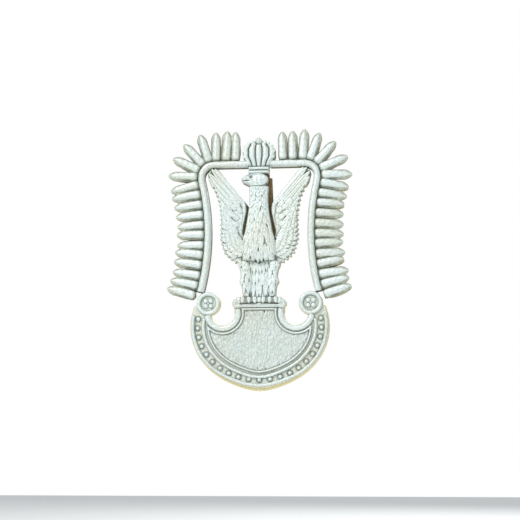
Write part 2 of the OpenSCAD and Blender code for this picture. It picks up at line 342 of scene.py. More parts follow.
# %% Feather stamp
def press_feather(sheet, root, tip, width, low, high, crown=0.1, barb=0.0, blunt=0.55):
    """Presses one feather into the sheet, from height low at its root to high near its tip."""
    root, tip = np.array(root, float), np.array(tip, float)
    length = np.hypot(*(tip - root))
    ahead = (tip - root) / length
    reach = length / 2 + width
    middle = (root + tip) / 2
    i0, j0 = np.maximum(((middle - reach - sheet.low) / GRAIN).astype(int), 0)
    i1, j1 = np.maximum(((middle + reach - sheet.low) / GRAIN).astype(int), 0)
    area = (slice(j0, j1), slice(i0, i1))
    x, z = sheet.x[area] - root[0], sheet.z[area] - root[1]
    u = (x * ahead[0] + z * ahead[1]) / length
    v = (z * ahead[0] - x * ahead[1]) / (width / 2)
    along = np.clip(u, 0, 1)
    half = np.sin(np.pi * np.minimum(along ** 0.8, 1)) ** blunt + 1e-6
    half = np.where(along < 0.45, np.maximum(half, 0.7), half)
    across = np.abs(v) / half
    on = (across < 1) & (u > 0) & (u < 1)
    body = low + (high - low) * along ** 0.8 + crown * np.sqrt(np.clip(1 - across ** 2, 0, 1))
    body -= crown * 0.45 * np.exp(-(v / 0.14) ** 2) * (along < 0.9)
    if barb:
        body += barb * np.sin(2 * np.pi * (u * length - np.abs(v) * width * 0.4) / 0.34)
    sheet.relief[area] = np.where(on, np.maximum(sheet.relief[area], body), sheet.relief[area])


def toward(point, degrees, length):
    """The place at a distance from point in a direction, 0 to the right and 90 up."""
    a = math.radians(degrees)
    return np.array([point[0] + length * math.cos(a), point[1] + length * math.sin(a)])


# %% [markdown]
# ## Finishes
# The silver plate is pale and satin, almost white in the light. It darkens where polishing can't
# reach, and the same dark mask carries painted shade where pieces meet and in the slots. The
# brass shows through warm along the low edges that rub on cloth. Those are two masks on one
# metal, so they live in one node group that every silvered finish uses: "tarnish_and_shade".
# A second group, "cast grain", gives the fine uneven skin as a height for a Bump node. Object
# coordinates are used throughout, because they stay on the piece when it moves.


# %% Node helper
def add(tree, kind, inputs=None, **settings):
    """A node with its settings and inputs. An input may be a value or another node's output."""
    node = tree.nodes.new(kind)
    for key, value in settings.items():
        setattr(node, key, value)
    for key, value in (inputs or {}).items():
        if isinstance(value, bpy.types.NodeSocket):
            tree.links.new(value, node.inputs[key])
        else:
            node.inputs[key].default_value = value
    return node


def group(name, sockets, kind="ShaderNodeTree"):
    """A node group with named inputs and outputs, and its two end nodes."""
    tree = bpy.data.node_groups.new(name, kind)
    for label, direction, socket, value in sockets:
        made = tree.interface.new_socket(label, in_out=direction, socket_type=socket)
        if value is not None:
            made.default_value = value
    return tree, tree.nodes.new("NodeGroupInput"), tree.nodes.new("NodeGroupOutput")


def maths(tree, operation, a, b=0.0, clamp=False):
    return add(tree, "ShaderNodeMath", {0: a, 1: b}, operation=operation, use_clamp=clamp).outputs[0]


def mixed(tree, factor, a, b):
    """Colour a where factor is 0 and b where it is 1."""
    return add(tree, "ShaderNodeMix", {"Factor": factor, 6: a, 7: b}, data_type="RGBA").outputs[2]


# %% Tarnish, painted shade and cast grain
tarnish_and_shade, given, result = group("tarnish_and_shade", [
    ("Bright", "INPUT", "NodeSocketColor", (0.8, 0.8, 0.8, 1)),
    ("Dark", "INPUT", "NodeSocketColor", (0.2, 0.2, 0.2, 1)),
    ("Warm", "INPUT", "NodeSocketColor", (0.8, 0.7, 0.5, 1)),
    ("Warm Height", "INPUT", "NodeSocketFloat", 0.001),
    ("Darkness", "INPUT", "NodeSocketFloat", 1.0),
    ("Color", "OUTPUT", "NodeSocketColor", None),
    ("Hollow", "OUTPUT", "NodeSocketFloat", None),
    ("Worn", "OUTPUT", "NodeSocketFloat", None)])
place = add(tarnish_and_shade, "ShaderNodeTexCoord").outputs["Object"]
patches = add(tarnish_and_shade, "ShaderNodeTexNoise", {"Vector": place, "Scale": 420.0, "Detail": 4.0})
clouds = add(tarnish_and_shade, "ShaderNodeTexNoise", {"Vector": place, "Scale": 90.0, "Detail": 3.0})
# The hollow mark carries tarnish in the relief's hollows and painted shade from the shade maps; it mixes
# the colour towards Dark.
mark = add(tarnish_and_shade, "ShaderNodeAttribute", attribute_name="hollow").outputs["Fac"]
uneven = maths(tarnish_and_shade, "MULTIPLY_ADD", patches.outputs["Fac"], 0.9)
uneven.node.inputs[2].default_value = 0.55
deep = maths(tarnish_and_shade, "MULTIPLY", maths(tarnish_and_shade, "MULTIPLY", mark, uneven),
             given.outputs["Darkness"], clamp=True)
height = maths(tarnish_and_shade, "MULTIPLY", add(tarnish_and_shade, "ShaderNodeSeparateXYZ",
                                        {"Vector": place}).outputs["Y"], -1.0)
below = maths(tarnish_and_shade, "SUBTRACT", given.outputs["Warm Height"], height)
ragged = maths(tarnish_and_shade, "SUBTRACT", below, maths(tarnish_and_shade, "MULTIPLY", clouds.outputs["Fac"], 0.0004))
low_edge = add(tarnish_and_shade, "ShaderNodeMapRange", {
    "Value": ragged, "From Min": 0.0, "From Max": 0.00035, "To Min": 0.0, "To Max": 1.0})
tinted = add(tarnish_and_shade, "ShaderNodeMapRange", {
    "Value": clouds.outputs["Fac"], "From Min": 0.42, "From Max": 0.66, "To Max": 0.34})
streaks = mixed(tarnish_and_shade, tinted.outputs[0], given.outputs["Bright"], given.outputs["Warm"])
warmed = mixed(tarnish_and_shade, low_edge.outputs[0], streaks, given.outputs["Warm"])
specks = add(tarnish_and_shade, "ShaderNodeTexNoise", {"Vector": place, "Scale": 3400.0, "Detail": 2.0})
speck = add(tarnish_and_shade, "ShaderNodeMapRange", {
    "Value": specks.outputs["Fac"], "From Min": 0.44, "From Max": 0.74, "To Max": 0.36})
soiled = mixed(tarnish_and_shade, speck.outputs[0], warmed, given.outputs["Dark"])
tarnish_and_shade.links.new(mixed(tarnish_and_shade, deep, soiled, given.outputs["Dark"]), result.inputs["Color"])
tarnish_and_shade.links.new(deep, result.inputs["Hollow"])
tarnish_and_shade.links.new(low_edge.outputs[0], result.inputs["Worn"])

cast_grain, given, result = group("cast grain", [
    ("Scale", "INPUT", "NodeSocketFloat", 2500.0),
    ("Pits", "INPUT", "NodeSocketFloat", 0.4),
    ("Height", "OUTPUT", "NodeSocketFloat", None)])
place = add(cast_grain, "ShaderNodeTexCoord").outputs["Object"]
skin = add(cast_grain, "ShaderNodeTexNoise", {
    "Vector": place, "Scale": given.outputs["Scale"], "Detail": 5.0, "Roughness": 0.6})
pits = add(cast_grain, "ShaderNodeTexVoronoi", {
    "Vector": place, "Scale": maths(cast_grain, "MULTIPLY", given.outputs["Scale"], 0.6)})
pit_depth = maths(cast_grain, "MULTIPLY", pits.outputs["Distance"], given.outputs["Pits"])
cast_grain.links.new(maths(cast_grain, "ADD", skin.outputs["Fac"], pit_depth),
                     result.inputs["Height"])


# %% Silvered finishes
def silvered(name, bright, dark, warm, warm_height, metal, rough, bump, darkness=1.0):
    """A silver-plated finish: tarnish and painted shade for colour, cast grain for the skin."""
    material = bpy.data.materials.new(name)
    material.use_nodes = True
    tree = material.node_tree
    shader = tree.nodes["Principled BSDF"]
    colour = add(tree, "ShaderNodeGroup", node_tree=tarnish_and_shade)
    for key, value in {"Bright": bright, "Dark": dark, "Warm": warm}.items():
        colour.inputs[key].default_value = (*value, 1)
    colour.inputs["Warm Height"].default_value = warm_height * MM
    colour.inputs["Darkness"].default_value = darkness
    tree.links.new(colour.outputs["Color"], shader.inputs["Base Color"])
    spots = maths(tree, "MULTIPLY_ADD", colour.outputs["Hollow"], 0.25)
    spots.node.inputs[2].default_value = rough
    tree.links.new(spots, shader.inputs["Roughness"])
    dull = maths(tree, "MULTIPLY_ADD", colour.outputs["Hollow"], -metal * 0.6)
    dull.node.inputs[2].default_value = metal
    tree.links.new(dull, shader.inputs["Metallic"])
    skin = add(tree, "ShaderNodeGroup", node_tree=cast_grain)
    bumped = add(tree, "ShaderNodeBump", {
        "Height": skin.outputs["Height"], "Strength": bump, "Distance": 0.0001})
    tree.links.new(bumped.outputs["Normal"], shader.inputs["Normal"])
    return material


# Each finish's Dark colour is what the hollow mark turns it to: tarnish in the relief's hollows, and
# painted shade where shield_shade, bar_shade, slot_shade or a painted edge mark feeds it.
SILVER = (0.86, 0.95, 0.92)
SHADOW = (0.17, 0.185, 0.15)
BARE = (0.80, 0.77, 0.56)
relief_silver = silvered("relief_silver", SILVER, SHADOW, BARE, 0.9, 0.3, 0.42, 0.6)
plate_silver = silvered("plate_silver", (0.80, 0.88, 0.83), (0.10, 0.105, 0.085),
                        (0.90, 0.79, 0.40), 1.63, 0.3, 0.46, 0.6)
plume_silver = silvered("plume_silver", SILVER, (0.25, 0.265, 0.21), (0.66, 0.64, 0.40), PLATE + 0.72, 0.3,
                        0.42, 0.6)
ground_silver = silvered("ground_silver", (0.62, 0.65, 0.54), (0.15, 0.155, 0.12),
                         (0.60, 0.55, 0.30), PLATE + 0.45, 0.3, 0.5, 0.6)
# The brown Dark of web_silver is painted shadow, laid by slot_shade over the web and the slots beside the
# neck.
web_silver = silvered("web_silver", (0.76, 0.82, 0.74), (0.19, 0.12, 0.045),
                      (0.66, 0.60, 0.34), 1.4, 0.3, 0.5, 0.6)
field_silver = silvered("field_silver", (0.75, 0.82, 0.78), (0.30, 0.31, 0.24),
                        (0.62, 0.60, 0.40), 0.9, 0.25, 0.5, 0.9)

# %% [markdown]
# ## Mouldings that follow a path
# The frame bars, the rims and the rings round the scroll eyes are one thing: a half-round
# moulding swept along a line. Geometry Nodes does that with Curve to Mesh. A closed D for the
# profile, with its flat side down, makes a solid strip at once, and a free curve normal that
# always faces forward keeps the D upright round every bend. Extruding each strip by hand would
# need its own corner handling.


# %% Geometry node helpers
def with_nodes(name, mesh_object, tree, values):
    """Runs a node tree on an object's mesh, with values by socket name, and returns the result."""
    if mesh_object.name not in bpy.context.scene.collection.objects:
        bpy.context.scene.collection.objects.link(mesh_object)
    modifier = mesh_object.modifiers.new("shape", "NODES")
    modifier.node_group = tree
    for item in tree.interface.items_tree:
        if item.item_type == "SOCKET" and item.in_out == "INPUT" and item.name in values:
            modifier[item.identifier] = values[item.name]
    bpy.context.view_layer.update()
    ready = mesh_object.evaluated_get(bpy.context.evaluated_depsgraph_get())
    made = bpy.data.meshes.new_from_object(ready)
    mesh_object.modifiers.remove(modifier)
    bpy.data.objects.remove(mesh_object)
    made.name = name
    facing = bmesh.new()
    facing.from_mesh(made)
    bmesh.ops.recalc_face_normals(facing, faces=facing.faces)
    facing.to_mesh(made)
    facing.free()
    made.shade_smooth()
    made.set_sharp_from_angle(angle=math.radians(50))
    obj = bpy.data.objects.new(name, made)
    print(name, len(made.polygons), "faces by nodes")
    return obj


def line_object(name, line, closed=False, y=-PLATE, **attributes):
    """A mesh of points joined in a line, in millimetres, with any attributes on its points."""
    mesh = bpy.data.meshes.new(name)
    n = len(line)
    edges = [(k, (k + 1) % n) for k in range(n if closed else n - 1)]
    points = np.stack([line[:, 0], np.full(n, y), line[:, 1]], 1) * MM
    mesh.from_pydata(points.tolist(), edges, [])
    for key, values in attributes.items():
        values = np.asarray(values, np.float32)
        kind = "FLOAT" if values.ndim == 1 else "FLOAT_VECTOR"
        layer = mesh.attributes.new(key, kind, "POINT")
        layer.data.foreach_set("value" if values.ndim == 1 else "vector", values.ravel())
    return bpy.data.objects.new(name, mesh)


# %% Moulding tree
moulding, given, result = group("moulding", [
    ("Geometry", "INPUT", "NodeSocketGeometry", None),
    ("Width", "INPUT", "NodeSocketFloat", 0.001),
    ("Height", "INPUT", "NodeSocketFloat", 0.001),
    ("Unevenness", "INPUT", "NodeSocketFloat", 0.00002),
    ("Seed", "INPUT", "NodeSocketInt", 1),
    ("Material", "INPUT", "NodeSocketMaterial", None),
    ("Geometry", "OUTPUT", "NodeSocketGeometry", None)], "GeometryNodeTree")
path = add(moulding, "GeometryNodeMeshToCurve", {"Mesh": given.outputs["Geometry"]})
even = add(moulding, "GeometryNodeResampleCurve", {"Curve": path.outputs[0], "Length": 0.00016},
           mode="LENGTH")
upright = add(moulding, "GeometryNodeSetCurveNormal", {
    "Curve": even.outputs[0], "Normal": (0, -1, 0)}, mode="FREE")
ring = add(moulding, "GeometryNodeCurvePrimitiveCircle", {"Resolution": 28, "Radius": 1.0})
around = add(moulding, "GeometryNodeInputPosition")
split = add(moulding, "ShaderNodeSeparateXYZ", {"Vector": around.outputs[0]})
flat = add(moulding, "ShaderNodeMath", {0: split.outputs["Y"], 1: 0.0}, operation="MAXIMUM")
full = add(moulding, "ShaderNodeMath", {0: flat.outputs[0], 1: 0.7}, operation="POWER")
across = add(moulding, "ShaderNodeMath", {0: split.outputs["X"], 1: given.outputs["Width"]},
             operation="MULTIPLY")
halved = add(moulding, "ShaderNodeMath", {0: across.outputs[0], 1: 0.5}, operation="MULTIPLY")
tall = add(moulding, "ShaderNodeMath", {0: full.outputs[0], 1: given.outputs["Height"]},
           operation="MULTIPLY")
profile_at = add(moulding, "ShaderNodeCombineXYZ", {"X": tall.outputs[0], "Y": halved.outputs[0]})
profile = add(moulding, "GeometryNodeSetPosition", {
    "Geometry": ring.outputs["Curve"], "Position": profile_at.outputs[0]})
swept = add(moulding, "GeometryNodeCurveToMesh", {
    "Curve": upright.outputs[0], "Profile Curve": profile.outputs[0], "Fill Caps": True})
above = add(moulding, "ShaderNodeSeparateXYZ", {
    "Vector": add(moulding, "GeometryNodeInputPosition").outputs[0]})
lifted = add(moulding, "FunctionNodeCompare", {
    "A": above.outputs["Y"], "B": -(PLATE + 0.1) * MM}, operation="LESS_THAN", data_type="FLOAT")
wave = add(moulding, "ShaderNodeTexNoise", {"Scale": 620.0, "Detail": 3.0, "W": 0.0},
           noise_dimensions="4D")
moulding.links.new(given.outputs["Seed"], wave.inputs["W"])
centred = add(moulding, "ShaderNodeVectorMath", {0: wave.outputs["Color"], 1: (0.5, 0.5, 0.5)},
              operation="SUBTRACT")
sway = add(moulding, "ShaderNodeVectorMath", {0: centred.outputs[0]}, operation="SCALE")
moulding.links.new(given.outputs["Unevenness"], sway.inputs["Scale"])
settled = add(moulding, "GeometryNodeSetPosition", {
    "Geometry": swept.outputs[0], "Selection": lifted.outputs[0], "Offset": sway.outputs[0]})
whole = add(moulding, "GeometryNodeRealizeInstances", {"Geometry": settled.outputs[0]})
dressed = add(moulding, "GeometryNodeSetMaterial", {
    "Geometry": whole.outputs[0], "Material": given.outputs["Material"]})
moulding.links.new(dressed.outputs[0], result.inputs[0])


# %% Centre line of a band
def band_line(node, step=0.25):
    """The centre line and the width of a band: its outline is cut at its four sharpest corners."""
    loop = spaced(islands(node)[0], 0.1)
    n = len(loop)
    k = 3
    before, after = loop - np.roll(loop, k, 0), np.roll(loop, -k, 0) - loop
    turn = np.abs(np.arctan2(before[:, 0] * after[:, 1] - before[:, 1] * after[:, 0],
                             (before * after).sum(1)))
    corners = []
    for i in np.argsort(-turn):
        if all(min((i - c) % n, (c - i) % n) > 4 for c in corners):
            corners.append(i)
        if len(corners) == 4:
            break
    corners.sort()
    sides = [loop[np.arange(a, b + (n if b <= a else 0) + 1) % n]
             for a, b in zip(corners, corners[1:] + corners[:1])]
    lengths = [np.hypot(*np.diff(s, axis=0).T).sum() for s in sides]
    first = max((0, 1), key=lambda s: lengths[s] + lengths[s + 2])
    one, two = sides[first], sides[first + 2][::-1]
    count = max(8, round(lengths[first] / step))

    def evenly(side):
        run = np.concatenate([[0], np.cumsum(np.hypot(*np.diff(side, axis=0).T))])
        at = np.linspace(0, run[-1], count)
        return np.stack([np.interp(at, run, side[:, 0]), np.interp(at, run, side[:, 1])], 1)

    one, two = evenly(one), evenly(two)
    width = float(np.median(np.hypot(*(one - two).T)))
    return (one + two) / 2, width


def add_hollow(obj, near=0.0, base=PLATE, tall=1.0):
    """Marks a swept piece: dark at its foot, clear on its crest."""
    mesh = obj.data
    at = np.zeros(len(mesh.vertices) * 3, np.float32)
    mesh.vertices.foreach_get("co", at)
    rise = (-at[1::3] / MM - base) / tall
    mark = mesh.attributes.get("hollow") or mesh.attributes.new("hollow", "FLOAT", "POINT")
    mark.data.foreach_set("value", np.clip(near * (1 - rise / 0.55), 0, 1).astype(np.float32))
    return obj


def sweep(node, slot="silvered_relief", seed=1, foot_mark=0.75, line=None, width=None, height=None,
          closed=False):
    """The moulding that stands for a CAD band."""
    if line is None:
        line, width = band_line(node)
    height = height or raised(node)
    obj = with_nodes(node + "_moulding", line_object(node + "_line", line, closed), moulding, {
        "Width": width * MM, "Height": height * MM, "Unevenness": 0.3 * MM, "Seed": seed,
        "Material": relief_silver})
    add_hollow(obj, foot_mark, PLATE, height)
    return finished(obj, "badge", slot, relief_silver, node)


# %% [markdown]
# ## Frame bars, rims and rings
# Each band's centre line is read from its CAD outline, so the sweep can't drift away from it.
# The shield's outer rim sits a little further in at the foot of the shield, where the plate's
# sloping edge is widest.

# %% Sweep the bands
END_ADDED = 0.45
RIM_SHIFT = 0.62
BEAD_SHIFT = 0.3


def round_of(node):
    """Middle and radius of a node that is round from the front, in millimetres."""
    low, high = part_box(node)
    middle = np.array([(low.x + high.x) / 2, (low.z + high.z) / 2]) / MM
    return middle, (high.x - low.x) / 2 / MM


def toward_foot(z):
    """0 over the upper half of the shield, rising to 1 at its foot."""
    return np.clip((shield_mid - z) / (shield_mid - shield_low), 0, 1) ** 2


for number, node in enumerate(["inner_rim", "left_crescent_rim", "right_crescent_rim"]):
    sweep(node, seed=5 + number)
for number, node in enumerate(["left_plume_bar", "right_plume_bar"]):
    bar_line, bar_width = band_line(node)
    print(node, bar_line[0].round(2), "to", bar_line[-1].round(2), "width", round(bar_width, 2))
    if abs(bar_line[0][0]) > abs(bar_line[-1][0]):
        bar_line = bar_line[::-1]
    outward = bar_line[0] - bar_line[4]
    bar_line[0] += END_ADDED * outward / np.hypot(*outward)
    sweep(node, line=bar_line, width=bar_width * 0.9, seed=3 + number)

rim_line, rim_width = band_line("shield_rim")
shield_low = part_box("shield_plate")[0].z / MM
shield_mid = (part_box("shield_rim")[0].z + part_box("shield_rim")[1].z) / 2 / MM
sink = toward_foot(rim_line[:, 1])
rim_line[:, 1] += RIM_SHIFT * sink
rim_line[:, 0] *= 1 - 0.015 * sink
sweep("shield_rim", line=rim_line, width=rim_width * 0.8, seed=9)

for side in ("left", "right"):
    middle, outer = round_of(side + "_scroll_ring")
    angles = np.linspace(0, 2 * np.pi, 72, endpoint=False)
    ring_w = 0.9
    circle = middle + (outer - ring_w / 2) * np.stack([np.cos(angles), np.sin(angles)], 1)
    sweep(side + "_scroll_ring", line=circle, width=ring_w, closed=True, seed=11)

# %% [markdown]
# ## Setting pieces on points
# Plume feathers, beads, pearls, rosette petals and talons are all one small shape set many times.
# Instance on Points does it, and each point carries its own turn and its own size. A little
# random lean and size, from a fixed seed, stops the row from looking printed.

# %% Setting tree
setting, given, result = group("setting", [
    ("Geometry", "INPUT", "NodeSocketGeometry", None),
    ("Piece", "INPUT", "NodeSocketObject", None),
    ("Lean", "INPUT", "NodeSocketFloat", 0.03),
    ("Size Change", "INPUT", "NodeSocketFloat", 0.05),
    ("Seed", "INPUT", "NodeSocketInt", 1),
    ("Material", "INPUT", "NodeSocketMaterial", None),
    ("Geometry", "OUTPUT", "NodeSocketGeometry", None)], "GeometryNodeTree")
points = add(setting, "GeometryNodeMeshToPoints", {"Mesh": given.outputs["Geometry"]})
small = add(setting, "GeometryNodeObjectInfo", {"Object": given.outputs["Piece"]},
            transform_space="ORIGINAL")
turn = add(setting, "GeometryNodeInputNamedAttribute", {"Name": "turn"}, data_type="FLOAT")
size = add(setting, "GeometryNodeInputNamedAttribute", {"Name": "size"}, data_type="FLOAT_VECTOR")
lean_low = add(setting, "ShaderNodeMath", {0: given.outputs["Lean"], 1: -1.0},
               operation="MULTIPLY")
lean = add(setting, "FunctionNodeRandomValue", {
    "Min": lean_low.outputs[0], "Max": given.outputs["Lean"], "Seed": given.outputs["Seed"]},
    data_type="FLOAT")
turned_to = add(setting, "ShaderNodeMath", {
    0: turn.outputs["Attribute"], 1: lean.outputs["Value"]}, operation="ADD")
about_y = add(setting, "ShaderNodeCombineXYZ", {"Y": turned_to.outputs[0]})
change = add(setting, "ShaderNodeMath", {0: 1.0, 1: given.outputs["Size Change"]},
             operation="SUBTRACT")
vary = add(setting, "FunctionNodeRandomValue", {
    "Min": change.outputs[0], "Max": 1.0, "Seed": given.outputs["Seed"], "ID": 0},
    data_type="FLOAT")
sized = add(setting, "ShaderNodeVectorMath", {0: size.outputs["Attribute"]}, operation="SCALE")
setting.links.new(vary.outputs["Value"], sized.inputs["Scale"])
placed = add(setting, "GeometryNodeInstanceOnPoints", {
    "Points": points.outputs[0], "Instance": small.outputs["Geometry"],
    "Rotation": about_y.outputs[0], "Scale": sized.outputs[0]})
whole = add(setting, "GeometryNodeRealizeInstances", {"Geometry": placed.outputs[0]})
dressed = add(setting, "GeometryNodeSetMaterial", {
    "Geometry": whole.outputs[0], "Material": given.outputs["Material"]})
setting.links.new(dressed.outputs[0], result.inputs[0])


def set_on_points(name, piece, places, turns, sizes, y=-PLATE, lean=0.0, change=0.04, seed=1,
                  material=None):
    """Copies of piece at places, with y in millimetres for how far forward they sit."""
    places = np.asarray(places, float)
    sizes = np.broadcast_to(np.asarray(sizes, float).reshape(-1, 3) if np.ndim(sizes) > 1
                            else np.asarray(sizes, float), (len(places), 3))
    points = line_object(name + "_points", places, y=y, turn=turns, size=sizes)
    return with_nodes(name, points, setting, {
        "Piece": piece, "Lean": lean, "Size Change": change, "Seed": seed,
        "Material": material or relief_silver})


# %% [markdown]
# ## The plume feathers
# A plume feather is a stout rod with a blunt point. Its ridge lies off the middle, with two faint
# grooves beside it and a lower flank. One is struck at full detail, then set on the frame where
# each CAD feather lies: the CAD outline gives its root, its direction, its length and its width.
# It is set a little longer and wider than that, so that neighbours meet. A size of less than
# nothing in z turns it over, which keeps the low flank on the same side all round the frame.

# %% One plume feather
LONG, WIDE = 6.0, 2.0
ADDED_LENGTH, ADDED_WIDTH = 0.6, 1.18
u = (1 - np.cos(np.linspace(0, np.pi, 22))) / 2
half = np.minimum(np.minimum(0.84 + 1.6 * u, 1), np.sqrt(np.clip(1 - u, 0, 1) / 0.22)) * WIDE / 2
half[-1] = 0
leaf = np.concatenate([np.stack([u * LONG, -half], 1), np.stack([u * LONG, half], 1)[-2::-1]])
plume_top = raised("right_plume_feathers")
blank = sheet_for([leaf])
along = np.clip(blank.x / LONG, 0, 1)
side_on = blank.z / np.maximum(np.interp(along, u, half), 0.05)
ridge = np.interp(along, [0, 0.12, 0.55, 0.9, 1], [0.74, 0.86, 0.74, 0.44, 0.2])
crest = np.sqrt(np.clip(1 - ((side_on - 0.12) / ridge) ** 2, 0, 1))
rise = np.interp(along, [0, 0.1, 0.5, 0.8, 1], [0.7, 1, 0.95, 0.75, 0.15])
shape = plume_top * (0.30 + 0.66 * crest * rise)
for groove in (-0.30, 0.36):
    shape -= 0.08 * np.exp(-((side_on - groove) / 0.10) ** 2) * (along < 0.8)
shape += 0.04 * np.sin(blank.x * 5 + blank.z * 3) * np.sin(blank.z * 7 + 1)
shape += 0.05 * np.sin(side_on * 13 + along * 4) * (crest == 0)
shape *= 1 - 0.5 * np.clip((np.abs(side_on) - 0.8) / 0.2, 0, 1)
# feather_dark is tarnish in the feather's hollows plus painted shade: at the root against the bar, along
# both edges where neighbours meet, and on the lower flank.
feather_dark = np.clip(hollows(shape, 0.2, 0.16) * 0.55 + np.clip((0.07 - along) / 0.07, 0, 1)
                       + np.clip((np.abs(side_on) - 0.74) / 0.2, 0, 1) * 0.65 * (1 - 0.6 * along)
                       + np.clip((-0.35 - side_on) / 0.3, 0, 1) * 0.4 * (along < 0.9), 0, 1)
plume_feather = struck("one_plume_feather", blank, shape, feather_dark, foot=0, step=0.15)

# %% Set them round the frame
for side, seed in (("left", 5), ("right", 8)):
    node = side + "_plume_feathers"
    bar_loop = islands(side + "_plume_bar")
    roots, turns, sizes = [], [], []
    for loop in islands(node):
        loop = spaced(loop, 0.15)
        middle = loop.mean(0)
        spread = np.linalg.svd(loop - middle, full_matrices=False)[2][0]
        run = (loop - middle) @ spread
        ends = [middle + spread * run.min(), middle + spread * run.max()]
        gap = [edge_distance(bar_loop, np.array([e[0]]), np.array([e[1]]))[0] for e in ends]
        root, tip = (ends[0], ends[1]) if gap[0] < gap[1] else (ends[1], ends[0])
        ahead = (tip - root) / np.hypot(*(tip - root))
        breadth = np.ptp((loop - middle) @ np.array([-ahead[1], ahead[0]]))
        roots.append(root + ahead * 0.05)
        turns.append(-math.atan2(ahead[1], ahead[0]))
        over = 1 if side == "right" else -1
        length = (np.hypot(*(tip - root)) + ADDED_LENGTH) / LONG
        sizes.append((length, 1.0, over * breadth / WIDE * ADDED_WIDTH))
    print(node, len(roots), "feathers, shortest", round(min(s[0] for s in sizes) * LONG, 2), "mm")
    plumes = set_on_points(node + "_struck", plume_feather, roots, turns, sizes,
                           lean=0.06, change=0.08, seed=seed, material=plume_silver)
    finished(plumes, "badge", "silvered_relief", plume_silver, node)

# %% [markdown]
# ## Beads, rosettes, pearls and talons
# A bead is half a ball with its flat side on the plate. Nodes can make it from a sphere whose
# back half is pressed flat, so it is closed without any cutting.

# %% Bead
def half_ball(name, radius, tall, segments=20, rings=12):
    """Half an egg on a flat foot at y = 0, facing forward, in millimetres."""
    ball = bmesh.new()
    bmesh.ops.create_uvsphere(ball, u_segments=segments, v_segments=rings, radius=1)
    for v in ball.verts:
        forward = max(v.co.z, 0) * tall
        v.co = Vector((v.co.x * radius, -forward, v.co.y * radius)) * MM
    bmesh.ops.dissolve_degenerate(ball, edges=ball.edges, dist=1e-7)
    bmesh.ops.recalc_face_normals(ball, faces=ball.faces)
    mesh = bpy.data.meshes.new(name)
    ball.to_mesh(mesh)
    ball.free()
    mark = mesh.attributes.new("hollow", "FLOAT", "POINT")
    low = [0.8 * max(0.0, 1 + v.co.y / (0.45 * tall * MM)) for v in mesh.vertices]
    mark.data.foreach_set("value", np.array(low, np.float32))
    return bpy.data.objects.new(name, mesh)


bead_tall = raised("rim_beads")
bead = half_ball("one_bead", 0.5, bead_tall)


def centres(node):
    """Middle of each separate solid in a node, in millimetres."""
    mesh = bmesh.new()
    mesh.from_mesh(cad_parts[node].data)
    bmesh.ops.remove_doubles(mesh, verts=mesh.verts, dist=2e-6)
    left = list(mesh.verts)
    found = []
    while left:
        todo, seen = [left[0]], set()
        while todo:
            v = todo.pop()
            if v not in seen:
                seen.add(v)
                todo += [e.other_vert(v) for e in v.link_edges]
        left = [v for v in left if v not in seen]
        at = np.array([v.co for v in seen]) / MM
        found.append((at.min(0) + at.max(0))[[0, 2]] / 2)
    mesh.free()
    return np.array(found)


bead_places = centres("rim_beads")
bead_places[:, 1] += BEAD_SHIFT * toward_foot(bead_places[:, 1])
print(len(bead_places), "beads on the rim")
beads = set_on_points("rim_beads_struck", bead, bead_places, np.zeros(len(bead_places)),
                      (1.0, 1.0, 1.0), change=0.1, seed=4)
in_relief(beads, "rim_beads")

# %% Rosettes in the scroll eyes
petal = half_ball("one_petal", 0.62, raised("left_rosette"), 18, 10)
for side, seed in (("left", 2), ("right", 6)):
    middle, _ = round_of(side + "_rosette")
    spin = [math.radians(45 + 90 * k) for k in range(4)]
    places = [middle + 0.82 * np.array([math.cos(a), math.sin(a)]) for a in spin] + [middle]
    shapes = [(1.0, 1.0, 1.0)] * 4 + [(0.5, 1.1, 0.5)]
    rosette = set_on_points(side + "_rosette_struck", petal, places, [0] * 5,
                            np.array(shapes) * (1, 0.9, 1), change=0.1, seed=seed)
    in_relief(rosette, side + "_rosette")

# %% [markdown]
# ## The plates
# Flat plates carry everything. A blanked plate has a soft upper edge, and this one was cast or
# filed with its sides sloping outwards to the back, most of all along the foot of the shield. The
# slope is part of the height sheet: low at the outline, full thickness a little way in. Painted
# shade round the beads, on the channel floors beside the rims, at the roots of the plumes and in the slots
# beside the neck goes into "hollow" as well.
# The eagle's plate is notched along the wings wherever their edge is, between feather tips.

# %% Ragged edge of the wings
WING_SEEDS = {"right": 21, "left": 34}
PITCH = 1.12
SMOOTH_TO = 4.2


def wing_edge(side):
    """A wing's outline, as a right wing: whole, notched between feather tips, and the tips."""
    loops = [softened(loop, 1) for loop in islands(side + "_wing")]
    loop = spaced((turned_over(loops) if side == "left" else loops)[0], 0.2)
    foot, tip = int(np.argmin(loop[:, 1])), int(np.argmax(loop[:, 0] + loop[:, 1] * 0.9))
    ring = np.roll(loop, -foot, 0)
    count = (tip - foot) % len(loop) + 1
    outer = ring[:count][::-1]
    run = np.concatenate([[0], np.cumsum(np.hypot(*np.diff(outer, axis=0).T))])
    starts = SMOOTH_TO + PITCH * np.arange(int((run[-1] - SMOOTH_TO) / PITCH))
    tips = np.stack([np.interp(starts, run, outer[:, 0]), np.interp(starts, run, outer[:, 1])], 1)
    rng = np.random.default_rng(WING_SEEDS[side])
    notched = ring.copy()
    for k in range(count):
        past = run[count - 1 - k] - SMOOTH_TO
        if past > 0:
            inward = ring[(k + 1) % len(ring)] - ring[k - 1]
            inward = np.array([-inward[1], inward[0]]) / max(np.hypot(*inward), 1e-6)
            notched[k] += inward * rng.uniform(0.4, 0.55) * math.sin(math.pi * past / PITCH) ** 2
    return ring, notched, tips


